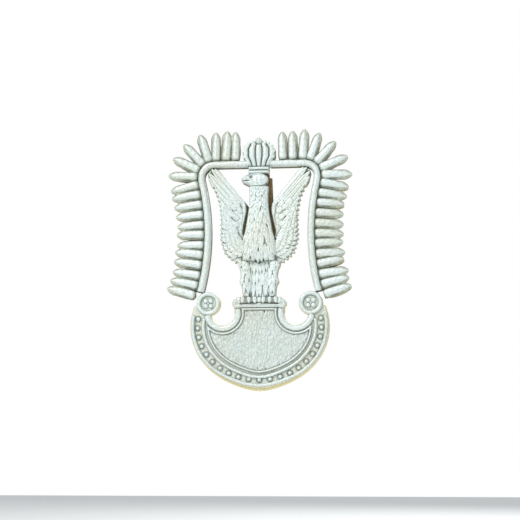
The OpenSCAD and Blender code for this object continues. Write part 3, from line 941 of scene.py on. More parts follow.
def ragged(loop):
    """The plate's outline, drawn in wherever a wing's edge is notched."""
    loop = spaced(loop, 0.15)
    for side in WING_SEEDS:
        ring, notched, _ = wing_edge(side)
        if side == "left":
            ring, notched = ring * (-1, 1), notched * (-1, 1)
        gap = np.hypot(loop[:, :1] - ring[:, 0], loop[:, 1:] - ring[:, 1])
        close = gap.min(1) < 0.45
        loop = loop + np.where(close[:, None], (notched - ring)[gap.argmin(1)], 0)
    return loop


# %% Struck plates
def plate(node, material, slope=0.45, edge=0.4, dark=None, step=0.14, loops=None):
    """A flat plate whose sides slope from edge x its thickness at the outline to full inside."""
    blank = sheet_for(loops or islands(node), 0.12)
    wide = slope(blank) if callable(slope) else slope
    tall = PLATE * (edge + (1 - edge) * rounded_edge(blank.inset, wide))
    shade = np.zeros(blank.x.shape) if dark is None else dark(blank)
    obj = struck(node + "_struck", blank, tall, np.clip(shade, 0, 1), foot=0, step=step)
    return finished(obj, "badge", "silvered_plate", material, node)


def shield_slope(blank):
    """Sides of the shield slope over 0.35 mm, and its foot over 1.65 mm."""
    foot = np.clip((shield_mid - 1 - blank.z) / (shield_mid - 1 - shield_low), 0, 1)
    return 0.35 + 1.3 * foot ** 1.5


def shield_shade(blank):
    """Painted shade in a ring round each bead and in a line beside each rim, where they meet the plate."""
    shade = np.zeros(blank.x.shape)
    for x, z in bead_places:
        gap = np.hypot(blank.x - x, blank.z - z)
        shade = np.maximum(shade, 0.85 * np.exp(-((gap - 0.62) / 0.18) ** 2))
    for node in ("shield_rim", "inner_rim", "field_border", "left_crescent_rim",
                 "right_crescent_rim", "left_scroll_ring", "right_scroll_ring"):
        gap = edge_distance(islands(node), blank.x, blank.z)
        shade = np.maximum(shade, 0.6 * np.exp(-(gap / 0.16) ** 2))
    return shade * (blank.inset > 0.35)


def bar_shade(side):
    """Painted shade along the outer edge of a frame bar, at the roots of the feathers, fading out over the
    plate between them.
    """
    bar = islands(side + "_plume_bar")

    def shade(blank):
        gap = edge_distance(bar, blank.x, blank.z) * np.where(inside(bar, blank.x, blank.z), 0, 1)
        return 1.4 * np.exp(-(gap / 1.1) ** 2) + 0.75 * np.exp(-(gap / 3.8) ** 4)
    return shade


def slot_shade(blank):
    """Painted shadow: the web between neck and wings and the slots beside the breast are dark."""
    return np.where((np.abs(blank.x) < 4.5) & (blank.z > -1) & (blank.z < 15), 1.0, 0.12)


plate("shield_plate", plate_silver, shield_slope, 0.3, shield_shade)
plate("eagle_plate", web_silver, 0.25, 0.5, slot_shade,
      loops=[ragged(loop) for loop in islands("eagle_plate")])
for side in ("left", "right"):
    plate(side + "_plume_plate", ground_silver, 0.5, 0.45, bar_shade(side))

# %% [markdown]
# ## The field of the shield
# The sunk field is matted: a punch with a rough face left it finely stippled, with faint streaks.
# A grid of points is pushed in and out by noise in Geometry Nodes, so the stipple is real relief
# and catches the light from every side.

# %% Stipple tree
stipple, given, result = group("stipple", [
    ("Geometry", "INPUT", "NodeSocketGeometry", None),
    ("Scale", "INPUT", "NodeSocketFloat", 2600.0),
    ("Depth", "INPUT", "NodeSocketFloat", 0.0001),
    ("Front", "INPUT", "NodeSocketFloat", -0.0015),
    ("Seed", "INPUT", "NodeSocketInt", 1),
    ("Material", "INPUT", "NodeSocketMaterial", None),
    ("Geometry", "OUTPUT", "NodeSocketGeometry", None)], "GeometryNodeTree")
where = add(stipple, "GeometryNodeInputPosition")
depth_at = add(stipple, "ShaderNodeSeparateXYZ", {"Vector": where.outputs[0]})
in_front = add(stipple, "FunctionNodeCompare", {
    "A": depth_at.outputs["Y"], "B": given.outputs["Front"]}, operation="LESS_THAN",
    data_type="FLOAT")
streaked = add(stipple, "ShaderNodeVectorMath", {0: where.outputs[0], 1: (1.0, 1.0, 0.45)},
               operation="MULTIPLY")
rough = add(stipple, "ShaderNodeTexNoise", {
    "Vector": streaked.outputs[0], "Scale": given.outputs["Scale"], "Detail": 2.0},
    noise_dimensions="4D")
stipple.links.new(given.outputs["Seed"], rough.inputs["W"])
signed = add(stipple, "ShaderNodeMath", {0: rough.outputs["Fac"], 1: 0.5}, operation="SUBTRACT")
pushed = add(stipple, "ShaderNodeMath", {0: signed.outputs[0], 1: given.outputs["Depth"]},
             operation="MULTIPLY")
doubled = add(stipple, "ShaderNodeMath", {0: pushed.outputs[0], 1: 4.0}, operation="MULTIPLY")
outward = add(stipple, "ShaderNodeCombineXYZ", {"Y": doubled.outputs[0]})
moved = add(stipple, "GeometryNodeSetPosition", {
    "Geometry": given.outputs["Geometry"], "Selection": in_front.outputs[0],
    "Offset": outward.outputs[0]})
whole = add(stipple, "GeometryNodeRealizeInstances", {"Geometry": moved.outputs[0]})
dressed = add(stipple, "GeometryNodeSetMaterial", {
    "Geometry": whole.outputs[0], "Material": given.outputs["Material"]})
stipple.links.new(dressed.outputs[0], result.inputs[0])

# %% Field panel and its border
blank = sheet_for(islands("field_panel"), 0.08)
field_top = raised("field_panel")
dish = field_top * (0.62 + 0.3 * np.clip(blank.inset / 3.0, 0, 1))
field_dark = np.exp(-(np.maximum(blank.inset, 0) / 0.16) ** 2)
panel = struck("field_blank", blank, dish, field_dark, step=0.11)
panel = with_nodes("field_panel_struck", panel, stipple, {
    "Scale": 2300.0, "Depth": 0.0003, "Front": -(PLATE + field_top * 0.5) * MM, "Seed": 3,
    "Material": field_silver})
finished(panel, "badge", "silvered_field", field_silver, "field_panel")

blank = sheet_for(islands("field_border"))
tall = raised("field_border") * (0.25 + 0.75 * rounded_edge(blank.inset, 0.26))
border = struck("field_border_struck", blank, tall,
                np.clip(1 - blank.inset / 0.14, 0, 1) * 0.8, step=0.12)
in_relief(border, "field_border")

# %% [markdown]
# ## The wings
# Each wing has a smooth leading edge, long primaries that run out to its tip, and below them rows
# of coverts that turn with the wing, from up and out at the top to down and out at the foot. The
# outer row is pressed lowest, and each row nearer the shoulder lies on the one outside it.

# %% Wing
def wing(side):
    node = side + "_wing"
    flip = side == "left"
    _, notched, tips = wing_edge(side)
    rng = np.random.default_rng(WING_SEEDS[side] + 1)
    blank = sheet_for([notched])
    top = raised(node)

    def heading(z):
        return np.interp(z, [-7, -5, -3, 0, 2, 5, 10, 15], [-52, -18, 6, 26, 38, 48, 54, 50])

    blank.relief += 0.03
    rows = [(0.0, 4.8, 1.32, 0.06, 0.30), (1.7, 3.6, 1.20, 0.22, 0.46),
            (3.2, 2.9, 1.08, 0.34, 0.60), (4.6, 2.3, 1.0, 0.44, 0.70)]
    for depth, long, wide, start, end in rows:
        for point in tips:
            if depth > 4 and not -4.5 < point[1] < 7.5:
                continue
            if depth > 2 and (point[1] > 9.5 or point[1] < -6):
                continue
            if depth > 0 and point[1] < -6.4:
                continue
            way = heading(point[1] - depth * 0.15)
            shift = 0.5 * PITCH if round(depth) % 4 else 0
            at = toward(point, way + 180, depth + rng.uniform(-0.15, 0.15) * (depth > 0))
            at = toward(at, way - 90, shift)
            press_feather(blank, toward(at, way + 180 + rng.normal(0, 5), long), at,
                          wide, start, end + rng.uniform(-0.05, 0.05), crown=0.20, barb=0.02)
    primaries = [((6.9, 4.2), (10.5, 9.7)), ((6.4, 5.1), (11.1, 11.4)), ((5.8, 6.0), (11.6, 13.0)),
                 ((5.0, 6.7), (11.6, 14.2)), ((4.2, 7.2), (10.9, 15.1))]
    for k, (root, end) in enumerate(primaries):
        press_feather(blank, root, end, 1.6, 0.20 + 0.06 * k, 0.28 + 0.05 * k, crown=0.36,
                      barb=0.012, blunt=0.4)
    shoulder = [((3.4, 1.0), (3.0, 4.6)), ((3.1, 3.8), (3.4, 7.3)), ((3.2, 6.2), (5.6, 9.8)),
                ((4.6, 8.4), (8.4, 13.4)), ((7.0, 11.6), (10.2, 15.4))]
    for root, end in shoulder:
        press_feather(blank, root, end, 1.05, 0.50, 0.54, crown=0.22, blunt=0.3)
    scales = [((4.3, 7.6), 50), ((4.4, 6.2), 40), ((4.1, 4.8), 45), ((5.3, 7.6), 52),
              ((5.2, 5.6), 40), ((4.6, 3.4), 30), ((5.6, 4.2), 35), ((4.6, 1.9), 20),
              ((5.7, 2.6), 25), ((6.4, 6.6), 50), ((4.8, 0.4), 5), ((5.9, 1.0), 10)]
    blank.relief = np.maximum(blank.relief, 0.42 * np.exp(
        -((blank.x - 4.7) / 1.9) ** 4 - ((blank.z - 4.2) / 4.3) ** 4))
    for point, way in scales:
        way += rng.normal(0, 6)
        press_feather(blank, point, toward(point, way, 1.7), 1.15, 0.50, 0.68, crown=0.12)
    detail = blurred(blank.relief, 0.03, 1)
    swell = np.clip(1 - np.hypot(blank.x - 4.6, (blank.z - 3.0) * 0.55) / 9.0, 0, 1)
    tall = top * (0.22 + 0.16 * swell) + detail * top * 0.72
    free = clear_of(blank, ["eagle_body", side + "_leg"], flip)
    tall = tall * (1 - free * 0.45 * (1 - rounded_edge(blank.inset, 0.30)))
    tall = np.minimum(tall, top)
    dark = np.clip(hollows(tall, 0.2, 0.18) + free * 0.12
                   * np.exp(-(np.maximum(blank.inset, 0) / 0.1) ** 2), 0, 1)
    obj = struck(node + "_struck", blank, tall, dark, step=0.085)
    if flip:
        mirror_mesh(obj.data)
    return in_relief(obj, node)


def mirror_mesh(mesh):
    """Turns a finished mesh over, left to right, and keeps its faces outward."""
    at = np.zeros(len(mesh.vertices) * 3, np.float32)
    mesh.vertices.foreach_get("co", at)
    at[0::3] *= -1
    mesh.vertices.foreach_set("co", at)
    mesh.flip_normals()


for side in WING_SEEDS:
    wing(side)

# %% [markdown]
# ## Body, head, legs and tail
# The neck has fine scales, the breast larger ones, and the belly long pointed feathers that hang
# over the legs. They are pressed from the foot up to the neck in staggered rows on a domed
# blank. The head is pressed the same way, with a brow, an eye and a hooked beak.

# %% Body
def domed(blank, low, high, reach):
    """Rises from low at the outline to high along the middle."""
    t = 1 - np.clip(blank.inset / reach, 0, 1)
    return low + (high - low) * np.sqrt(1 - t * t)


outline = spaced(softened(islands("eagle_body")[0], 1), 0.12)
hem = outline[:, 1] < outline[:, 1].min() + 0.5
outline[hem, 1] += 0.55 * np.sin(np.pi * outline[hem, 0] / 0.95 + 0.6) ** 2
blank = sheet_for([outline])
top = raised("eagle_body")
rng = np.random.default_rng(11)
lowest_row, highest_row = -5.7, 10.4
z = lowest_row
row = 0
while z < highest_row:
    long = float(np.interp(z, [-6, -2, 1, 5, 10], [3.2, 3.9, 3.2, 2.2, 1.3]))
    wide = float(np.interp(z, [-6, -2, 1, 5, 10], [1.15, 1.2, 1.25, 1.1, 0.75]))
    half_body = float(np.interp(z, [-6, 0, 5, 10], [3.7, 3.2, 2.4, 2.2]))
    count = max(3, round(2 * half_body / (wide * 0.82)))
    for k in range(count + row % 2):
        x = (k + 0.5 * ((row + 1) % 2) - count / 2) * 2 * half_body / count
        way = -90 + (24 if z > 0 else 9) * x / half_body + rng.normal(0, 7)
        root = (x * 0.9, z + long * 0.62 + rng.uniform(-0.45, 0.45) * long / 3)
        press_feather(blank, root, toward(root, way, long * rng.uniform(0.85, 1.1)), wide,
                      0.03, rng.uniform(0.34, 0.46), crown=0.26, barb=0.02)
    z += long * 0.42
    row += 1
detail = blurred(blank.relief, 0.03, 1)
tall = np.minimum(domed(blank, 1.15, top - 0.55, 2.4) * (0.90 + 0.10 * np.clip(
    (9 - blank.z) / 8, 0, 1)) + detail, top)
free = clear_of(blank, ["left_wing", "right_wing", "left_leg", "right_leg", "eagle_head"])
tall *= 1 - free * 0.38 * (1 - rounded_edge(blank.inset, 0.28))
dark = hollows(tall, 0.2, 0.16)
body = struck("eagle_body_struck", blank, tall, dark, step=0.085)
in_relief(body, "eagle_body")

# %% Head
blank = sheet_for([softened(loop, 2) for loop in islands("eagle_head")])
top = raised("eagle_head")
skull = np.sqrt(np.clip(1 - ((blank.x + 0.1) / 2.6) ** 2 - ((blank.z - 12.4) / 1.9) ** 2, 0, 1))
tall = 1.25 + 0.75 * skull
rng = np.random.default_rng(5)
for k in range(16):
    x = 1.7 - (k % 4) * 0.85 + rng.uniform(-0.15, 0.15)
    z = 13.2 - (k // 4) * 0.62
    press_feather(blank, (x - 0.5, z), (x + 0.75, z - 0.22), 0.72, 0.02, 0.18, crown=0.08)
tall += np.where(blank.x > -1.6, blurred(blank.relief, 0.03, 1), 0)
beak_line = 12.35 - 0.10 * (blank.x + 3) ** 2
beak = np.clip((-1.9 - blank.x) / 0.5, 0, 1)
tall += beak * (0.42 * np.exp(-((blank.z - beak_line - 0.45) / 0.42) ** 2)
                + 0.22 * np.exp(-((blank.z - beak_line + 0.55) / 0.26) ** 2)
                - 0.34 * np.exp(-((blank.z - beak_line + 0.15) / 0.10) ** 2))
eye = np.hypot(blank.x + 1.75, blank.z - 12.95)
tall += 0.22 * np.exp(-((eye - 0.42) / 0.12) ** 2) - 0.22 * np.exp(-((eye - 0.22) / 0.08) ** 2)
tall += 0.16 * np.exp(-(eye / 0.12) ** 2)
tall += 0.16 * np.exp(-((blank.z - 13.45 - 0.12 * blank.x) / 0.14) ** 2) * (blank.x < -0.6)
free = clear_of(blank, ["eagle_body", "crown_band"])
tall = np.minimum(tall, top) * (1 - free * 0.5 * (1 - rounded_edge(blank.inset, 0.45)))
dark = np.clip(hollows(tall, 0.2, 0.14), 0, 1)
head = struck("eagle_head_struck", blank, tall, dark, step=0.07)
in_relief(head, "eagle_head")

# %% Legs and tail
for side, seed in (("right", 13), ("left", 17)):
    flip = side == "left"
    loops = [softened(loop, 1) for loop in islands(side + "_leg")]
    blank = sheet_for(turned_over(loops) if flip else loops)
    top = raised(side + "_leg")
    rng = np.random.default_rng(seed)
    for z, long, wide in ((-12.0, 2.8, 0.8), (-10.4, 2.6, 0.95), (-8.8, 2.6, 1.0),
                          (-7.2, 2.4, 1.0), (-6.2, 2.0, 1.0)):
        for x in (2.1, 2.75, 3.4, 4.05):
            x += rng.uniform(-0.15, 0.15)
            way = -92 + 12 * (x - 3) + rng.normal(0, 4)
            press_feather(blank, (x, z + 1.0), toward((x, z + 1.0), way, long), wide, 0.05, 0.34,
                          crown=0.16, barb=0.014)
    tall = domed(blank, 0.62, top - 0.5, 1.3) + blurred(blank.relief, 0.03, 1)
    free = clear_of(blank, ["tail", "eagle_body"])
    tall = np.minimum(tall, top) * (1 - free * 0.4 * (1 - rounded_edge(blank.inset, 0.25)))
    leg = struck(side + "_leg_struck", blank, tall, hollows(tall, 0.2, 0.18), step=0.085)
    if flip:
        mirror_mesh(leg.data)
    in_relief(leg, side + "_leg")

blank = sheet_for(islands("tail"))
top = raised("tail")
rng = np.random.default_rng(29)
for z, long in ((-10.6, 3.9), (-8.6, 3.4), (-6.2, 3.0)):
    for x in (-1.7, -1.05, -0.35, 0.35, 1.05, 1.7):
        root = (x + rng.uniform(-0.12, 0.12), z + rng.uniform(-0.3, 0.3))
        press_feather(blank, root, toward(root, -90 + 3 * x + rng.normal(0, 2), long), 0.85,
                      0.02, 0.24, crown=0.20, barb=0.012)
tall = np.minimum(0.42 + blurred(blank.relief, 0.03, 1), top)
tail = struck("tail_struck", blank, tall, hollows(tall, 0.2, 0.2), step=0.085)
in_relief(tail, "tail")

# %% [markdown]
# ## The crown
# A closed crown: two mouldings round its foot, five arches that bulge and draw in to the top, an
# orb with a cross band, and a pearl at the head of each arch.

# %% Crown band, arches and orb
blank = sheet_for(islands("crown_band"))
top = raised("crown_band")
low_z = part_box("crown_band")[0].z / MM
tall = top * (0.62 + 0.10 * np.sqrt(np.clip(1 - (blank.x / 2.4) ** 2, 0, 1)))
for middle, wide, rise in ((low_z + 0.36, 0.34, 0.30), (low_z + 1.18, 0.38, 0.34)):
    tall += rise * top * np.sqrt(np.clip(1 - ((blank.z - middle) / wide) ** 2, 0, 1)) * 0.9
tall -= 0.16 * (np.cos(blank.x * 2 * np.pi / 0.62) > 0.55) * (np.abs(blank.z - low_z - 1.18) < 0.3)
tall = np.minimum(blurred(tall, 0.04, 1), top) * (0.7 + 0.3 * rounded_edge(blank.inset, 0.2))
band = struck("crown_band_struck", blank, tall, hollows(tall, 0.2, 0.14), step=0.075)
in_relief(band, "crown_band")

blank = sheet_for([softened(loop, 1) for loop in islands("crown_arches")])
top = raised("crown_arches")
half_crown = np.interp(blank.z, [15.4, 16.6, 17.7, 19.5, 20.7, 21.3], [2.3, 2.9, 3.7, 3.7, 2.7, 1.1])
fraction = blank.x / half_crown
rib = np.zeros(blank.x.shape)
for centre in (-0.82, -0.42, 0.0, 0.42, 0.82):
    wide = 0.185 if abs(centre) < 0.8 else 0.16
    rib = np.maximum(rib, np.sqrt(np.clip(1 - ((fraction - centre) / wide) ** 2, 0, 1)))
bulge = np.sqrt(np.clip(1 - (fraction * 0.85) ** 2, 0, 1)) * np.sin(
    np.pi * np.clip((blank.z - 14.6) / 7.6, 0, 1)) ** 0.5
tall = top * (0.30 + 0.30 * bulge) + 0.85 * rib
tall = np.minimum(tall, top) * (0.6 + 0.4 * rounded_edge(blank.inset, 0.3))
arches = struck("crown_arches_struck", blank, tall, hollows(tall, 0.22, 0.3), step=0.085)
in_relief(arches, "crown_arches")

blank = sheet_for(islands("crown_orb"))
top = raised("crown_orb")
middle, orb_r = round_of("crown_orb")
away = np.hypot(blank.x - middle[0], blank.z - middle[1]) / orb_r
tall = top * (0.35 + 0.55 * np.sqrt(np.clip(1 - away ** 2, 0, 1)))
tall += 0.16 * np.maximum(np.exp(-((blank.z - middle[1]) / 0.12) ** 2),
                          np.exp(-((blank.x - middle[0]) / 0.12) ** 2))
orb = struck("crown_orb_struck", blank, np.minimum(tall, top),
             hollows(tall, 0.2, 0.14), step=0.07)
in_relief(orb, "crown_orb")

# %% Pearls on the crown
pearl = half_ball("one_pearl", 0.42, 0.36, 14, 8)
arch = np.array([(-3.05, 20.05), (-2.25, 20.65), (-1.45, 20.95), (1.45, 20.95), (2.25, 20.65),
                 (3.05, 20.05), (-3.4, 18.9), (3.4, 18.9), (-3.3, 17.6), (3.3, 17.6)])
pearls = set_on_points("crown_pearls", pearl, arch, np.zeros(len(arch)), (1.0, 1.0, 1.0),
                       y=-(PLATE + raised("crown_arches") * 0.68), change=0.12, seed=9)
in_relief(pearls)

# %% [markdown]
# ## The perch and the talons
# The eagle grips a ledge with rounded ends. Each foot is three short toes, set on points along the
# ledge with a turn of their own.

# %% Perch
blank = sheet_for([softened(loop, 1) for loop in islands("perch")])
top = raised("perch")
low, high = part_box("perch")
arc = low.z / MM + 0.55 + 0.35 * np.cos(np.clip(blank.x / 5.2, -1, 1) * np.pi / 2)
tall = top * (0.38 + 0.40 * rounded_edge(blank.inset, 0.5))
tall += top * 0.34 * np.exp(-((blank.z - arc) / 0.16) ** 2) * (np.abs(blank.x) < 5)
tall -= top * 0.30 * np.exp(-((blank.z - arc - 0.35) / 0.12) ** 2) * (np.abs(blank.x) < 4.6)
for end in (-1, 1):
    lobe = np.hypot(blank.x - end * 5.0, blank.z - (high.z / MM - 1.5))
    tall += top * 0.25 * np.exp(-((lobe - 0.6) / 0.2) ** 2)
tall = np.minimum(tall, top)
# Painted shade on the perch under and between the talons.
under_toes = (np.abs(np.abs(blank.x) - 2.35) < 2.0) & (blank.z > high.z / MM - 1.75)
perch = struck("perch_struck", blank, tall, np.clip(hollows(tall, 0.2, 0.12)
                                                    + 0.75 * under_toes, 0, 1), step=0.085)
in_relief(perch, "perch")

toe_loop = np.array([(0, -0.42), (0.9, -0.48), (1.5, -0.3), (1.75, 0), (1.5, 0.3), (0.9, 0.48),
                     (0, 0.42)])
blank = sheet_for([softened(toe_loop, 2)])
tall = 0.62 * (0.35 + 0.65 * rounded_edge(blank.inset, 0.42)) * (1 - 0.25 * np.clip(
    blank.x / 1.8, 0, 1))
tall -= 0.10 * np.exp(-((blank.x - 0.95) / 0.1) ** 2)
# The toe's hollow mark is tarnish in its crease plus painted shade round its edge, between neighbouring
# toes.
toe = struck("one_toe", blank, tall, hollows(tall, 0.15, 0.1) * 0.8
             + np.exp(-(np.maximum(blank.inset, 0) / 0.08) ** 2) * 0.6, foot=0, step=0.13)
toe_x = np.array([-3.6, -2.35, -1.1, 1.1, 2.35, 3.6])
toe_places = np.stack([toe_x, np.full(6, high.z / MM + 0.05)], 1)
toe_turns = np.radians(90 + 5.0 * np.array([2, 0, -2, 2, 0, -2]))
toes = set_on_points("talons", toe, toe_places, toe_turns, (0.98, 1.15, 1.24),
                     y=-(PLATE + top * 0.42), lean=0.06, change=0.08, seed=12)
in_relief(toes)

# %% [markdown]
# ## Turned parts behind the badge
# Stud, pins, washer and nut are turned in a lathe. A profile of (radius, y) pairs spun round an
# axis gives each of them its chamfers and fillets. The two things that repeat round the axis,
# the thread and the grip of the nut, are one rule: a wave whose phase grows with the angle and,
# for a thread, with the distance along the axis too. One node tree cuts both.

# %% Brass and leather
turning, given, result = group("turning marks", [
    ("Lines", "INPUT", "NodeSocketFloat", 9000.0),
    ("Bright", "INPUT", "NodeSocketColor", (0.8, 0.6, 0.3, 1)),
    ("Dull", "INPUT", "NodeSocketColor", (0.4, 0.3, 0.15, 1)),
    ("Color", "OUTPUT", "NodeSocketColor", None),
    ("Height", "OUTPUT", "NodeSocketFloat", None)])
place = add(turning, "ShaderNodeTexCoord").outputs["Object"]
stretch = add(turning, "ShaderNodeMapping", {"Vector": place, "Scale": (0.06, 1.0, 0.06)})
lines = add(turning, "ShaderNodeTexNoise", {
    "Vector": stretch.outputs[0], "Scale": given.outputs["Lines"], "Detail": 2.0})
stain = add(turning, "ShaderNodeTexNoise", {"Vector": place, "Scale": 260.0, "Detail": 5.0})
patch = add(turning, "ShaderNodeMapRange", {
    "Value": stain.outputs["Fac"], "From Min": 0.42, "From Max": 0.68})
turning.links.new(mixed(turning, patch.outputs[0], given.outputs["Bright"],
                        given.outputs["Dull"]), result.inputs["Color"])
turning.links.new(lines.outputs["Fac"], result.inputs["Height"])


def turned_brass(name, bright, dull, rough):
    """Lathe-turned brass with light tarnish."""
    material = bpy.data.materials.new(name)
    material.use_nodes = True
    tree = material.node_tree
    shader = tree.nodes["Principled BSDF"]
    shader.inputs["Metallic"].default_value = 1.0
    marks = add(tree, "ShaderNodeGroup", node_tree=turning)
    marks.inputs["Bright"].default_value = (*bright, 1)
    marks.inputs["Dull"].default_value = (*dull, 1)
    tree.links.new(marks.outputs["Color"], shader.inputs["Base Color"])
    gloss = maths(tree, "MULTIPLY_ADD", marks.outputs["Height"], 0.22)
    gloss.node.inputs[2].default_value = rough
    tree.links.new(gloss, shader.inputs["Roughness"])
    bumped = add(tree, "ShaderNodeBump", {
        "Height": marks.outputs["Height"], "Strength": 0.25, "Distance": 0.00003})
    tree.links.new(bumped.outputs["Normal"], shader.inputs["Normal"])
    return material


stud_brass = turned_brass("stud_brass", (0.74, 0.56, 0.27), (0.46, 0.34, 0.17), 0.26)
grip_brass = turned_brass("grip_brass", (0.80, 0.62, 0.31), (0.52, 0.38, 0.18), 0.22)

hide = bpy.data.materials.new("washer_hide")
hide.use_nodes = True
tree = hide.node_tree
shader = tree.nodes["Principled BSDF"]
place = add(tree, "ShaderNodeTexCoord").outputs["Object"]
cells = add(tree, "ShaderNodeTexVoronoi", {"Vector": place, "Scale": 2300.0}, feature="F1")
tone = add(tree, "ShaderNodeTexNoise", {"Vector": place, "Scale": 330.0, "Detail": 5.0})
brown = mixed(tree, tone.outputs["Fac"], (0.16, 0.085, 0.045, 1), (0.36, 0.21, 0.12, 1))
tree.links.new(mixed(tree, maths(tree, "MULTIPLY", cells.outputs["Distance"], 0.5), brown,
                     (0.10, 0.05, 0.03, 1)), shader.inputs["Base Color"])
tree.links.new(maths(tree, "MULTIPLY_ADD", tone.outputs["Fac"], 0.3), shader.inputs["Roughness"])
shader.inputs["Roughness"].links[0].from_node.inputs[2].default_value = 0.45
grain = add(tree, "ShaderNodeBump", {
    "Height": cells.outputs["Distance"], "Strength": 0.5, "Distance": 0.00004})
tree.links.new(grain.outputs["Normal"], shader.inputs["Normal"])


# %% Lathe
def spun(name, profile, axis=(0.0, 0.0), around=96):
    """A closed solid of revolution. profile is (radius, y) pairs in millimetres from the front of
    the axis to its back, or a closed ring of them where there is a bore."""
    bore = profile[0][0] > 0
    angles = np.linspace(0, 2 * np.pi, around, endpoint=False)
    points, rows, faces = [], [], []
    for radius, y in profile:
        if radius < 1e-6:
            rows.append([len(points)])
            points.append((axis[0], y, axis[1]))
        else:
            rows.append(list(range(len(points), len(points) + around)))
            points += [(axis[0] + radius * math.cos(a), y, axis[1] + radius * math.sin(a))
                       for a in angles]
    pairs = list(zip(rows, rows[1:])) + ([(rows[-1], rows[0])] if bore else [])
    for one, two in pairs:
        for k in range(around):
            face = [one[k % len(one)], one[(k + 1) % len(one)],
                    two[(k + 1) % len(two)], two[k % len(two)]]
            face = list(dict.fromkeys(face))
            if len(face) > 2:
                faces.append(face)
    obj = piece_from(name, points, faces, crease=32)
    solid = bmesh.new()
    solid.from_mesh(obj.data)
    bmesh.ops.recalc_face_normals(solid, faces=solid.faces)
    solid.to_mesh(obj.data)
    solid.free()
    return obj


# %% Cutting tree
cutting, given, result = group("cutting", [
    ("Geometry", "INPUT", "NodeSocketGeometry", None),
    ("Count", "INPUT", "NodeSocketFloat", 1.0),
    ("Turns per Metre", "INPUT", "NodeSocketFloat", 0.0),
    ("Depth", "INPUT", "NodeSocketFloat", 0.0003),
    ("Above Radius", "INPUT", "NodeSocketFloat", 0.001),
    ("From Y", "INPUT", "NodeSocketFloat", 0.0),
    ("To Y", "INPUT", "NodeSocketFloat", 0.01),
    ("Material", "INPUT", "NodeSocketMaterial", None),
    ("Geometry", "OUTPUT", "NodeSocketGeometry", None)], "GeometryNodeTree")
at = add(cutting, "ShaderNodeSeparateXYZ", {
    "Vector": add(cutting, "GeometryNodeInputPosition").outputs[0]})
angle = maths(cutting, "ARCTAN2", at.outputs["Z"], at.outputs["X"])
turns = maths(cutting, "DIVIDE", angle, 2 * math.pi)
phase = maths(cutting, "ADD", maths(cutting, "MULTIPLY", turns, given.outputs["Count"]),
              maths(cutting, "MULTIPLY", at.outputs["Y"], given.outputs["Turns per Metre"]))
wave = maths(cutting, "ABSOLUTE", maths(cutting, "SUBTRACT", maths(cutting, "FRACT", phase), 0.5))
depth = maths(cutting, "MULTIPLY", maths(cutting, "MULTIPLY", wave, 2.0), given.outputs["Depth"])
radius = maths(cutting, "SQRT", maths(cutting, "ADD",
                                      maths(cutting, "MULTIPLY", at.outputs["X"], at.outputs["X"]),
                                      maths(cutting, "MULTIPLY", at.outputs["Z"], at.outputs["Z"])))
beyond = maths(cutting, "GREATER_THAN", radius, given.outputs["Above Radius"])
after = maths(cutting, "GREATER_THAN", at.outputs["Y"], given.outputs["From Y"])
before = maths(cutting, "LESS_THAN", at.outputs["Y"], given.outputs["To Y"])
here = maths(cutting, "MULTIPLY", beyond, maths(cutting, "MULTIPLY", after, before))
share = maths(cutting, "DIVIDE", maths(cutting, "MULTIPLY", depth, here), radius)
inward = add(cutting, "ShaderNodeCombineXYZ", {
    "X": maths(cutting, "MULTIPLY", at.outputs["X"], maths(cutting, "MULTIPLY", share, -1.0)),
    "Z": maths(cutting, "MULTIPLY", at.outputs["Z"], maths(cutting, "MULTIPLY", share, -1.0))})
cut = add(cutting, "GeometryNodeSetPosition", {
    "Geometry": given.outputs["Geometry"], "Offset": inward.outputs[0]})
whole = add(cutting, "GeometryNodeRealizeInstances", {"Geometry": cut.outputs[0]})
dressed = add(cutting, "GeometryNodeSetMaterial", {
    "Geometry": whole.outputs[0], "Material": given.outputs["Material"]})
cutting.links.new(dressed.outputs[0], result.inputs[0])

# %% Stud plate, stud and pins
low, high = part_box("stud_plate")
flange, flange_r = high.y / MM, high.x / MM
base = spun("stud_plate_turned", [(0, 0), (flange_r, 0), (flange_r, flange - 0.25),
                                  (flange_r - 0.25, flange), (0, flange)])
finished(base, "badge", "plain_brass", stud_brass, "stud_plate")

low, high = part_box("stud")
end, thread_r, pitch = high.y / MM, 2.0, 0.7
shank_r = high.x / MM
washer_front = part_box("washer")[0].y / MM
profile = [(0, low.y / MM), (shank_r, low.y / MM), (shank_r, washer_front - 0.05),
           (shank_r - 0.05, washer_front), (1.55, washer_front), (1.55, washer_front + 0.3),
           (thread_r, washer_front + 0.3)]
profile += [(thread_r, y) for y in np.arange(washer_front + 0.4, end - 0.45, 0.07)]
profile += [(thread_r - 0.1, end - 0.4), (thread_r - 0.5, end), (0, end)]
stud = with_nodes("stud_turned", spun("stud_blank", profile, around=64), cutting, {
    "Count": 1.0, "Turns per Metre": 1 / (pitch * MM), "Depth": 0.38 * MM,
    "Above Radius": 1.6 * MM, "From Y": (washer_front + 0.35) * MM, "To Y": (end - 0.3) * MM,
    "Material": stud_brass})
finished(stud, "badge", "plain_brass", stud_brass, "stud")

for node in ("upper_pin", "lower_pin"):
    low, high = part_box(node)
    z, pad_r, tip = (low.z + high.z) / 2 / MM, high.x / MM, high.y / MM
    rod = pad_r * 3 / 7
    pin = spun(node + "_turned", [(0, 0), (pad_r, 0), (pad_r, 0.3), (pad_r - 0.15, 0.46),
                                  (rod + 0.35, 0.52), (rod + 0.1, 0.68), (rod, 0.95),
                                  (rod, tip - 1), (rod * 0.8, tip - 0.62), (rod * 0.2, tip - 0.06),
                                  (0, tip)], (0, z), 48)
    finished(pin, "badge", "plain_brass", stud_brass, node)

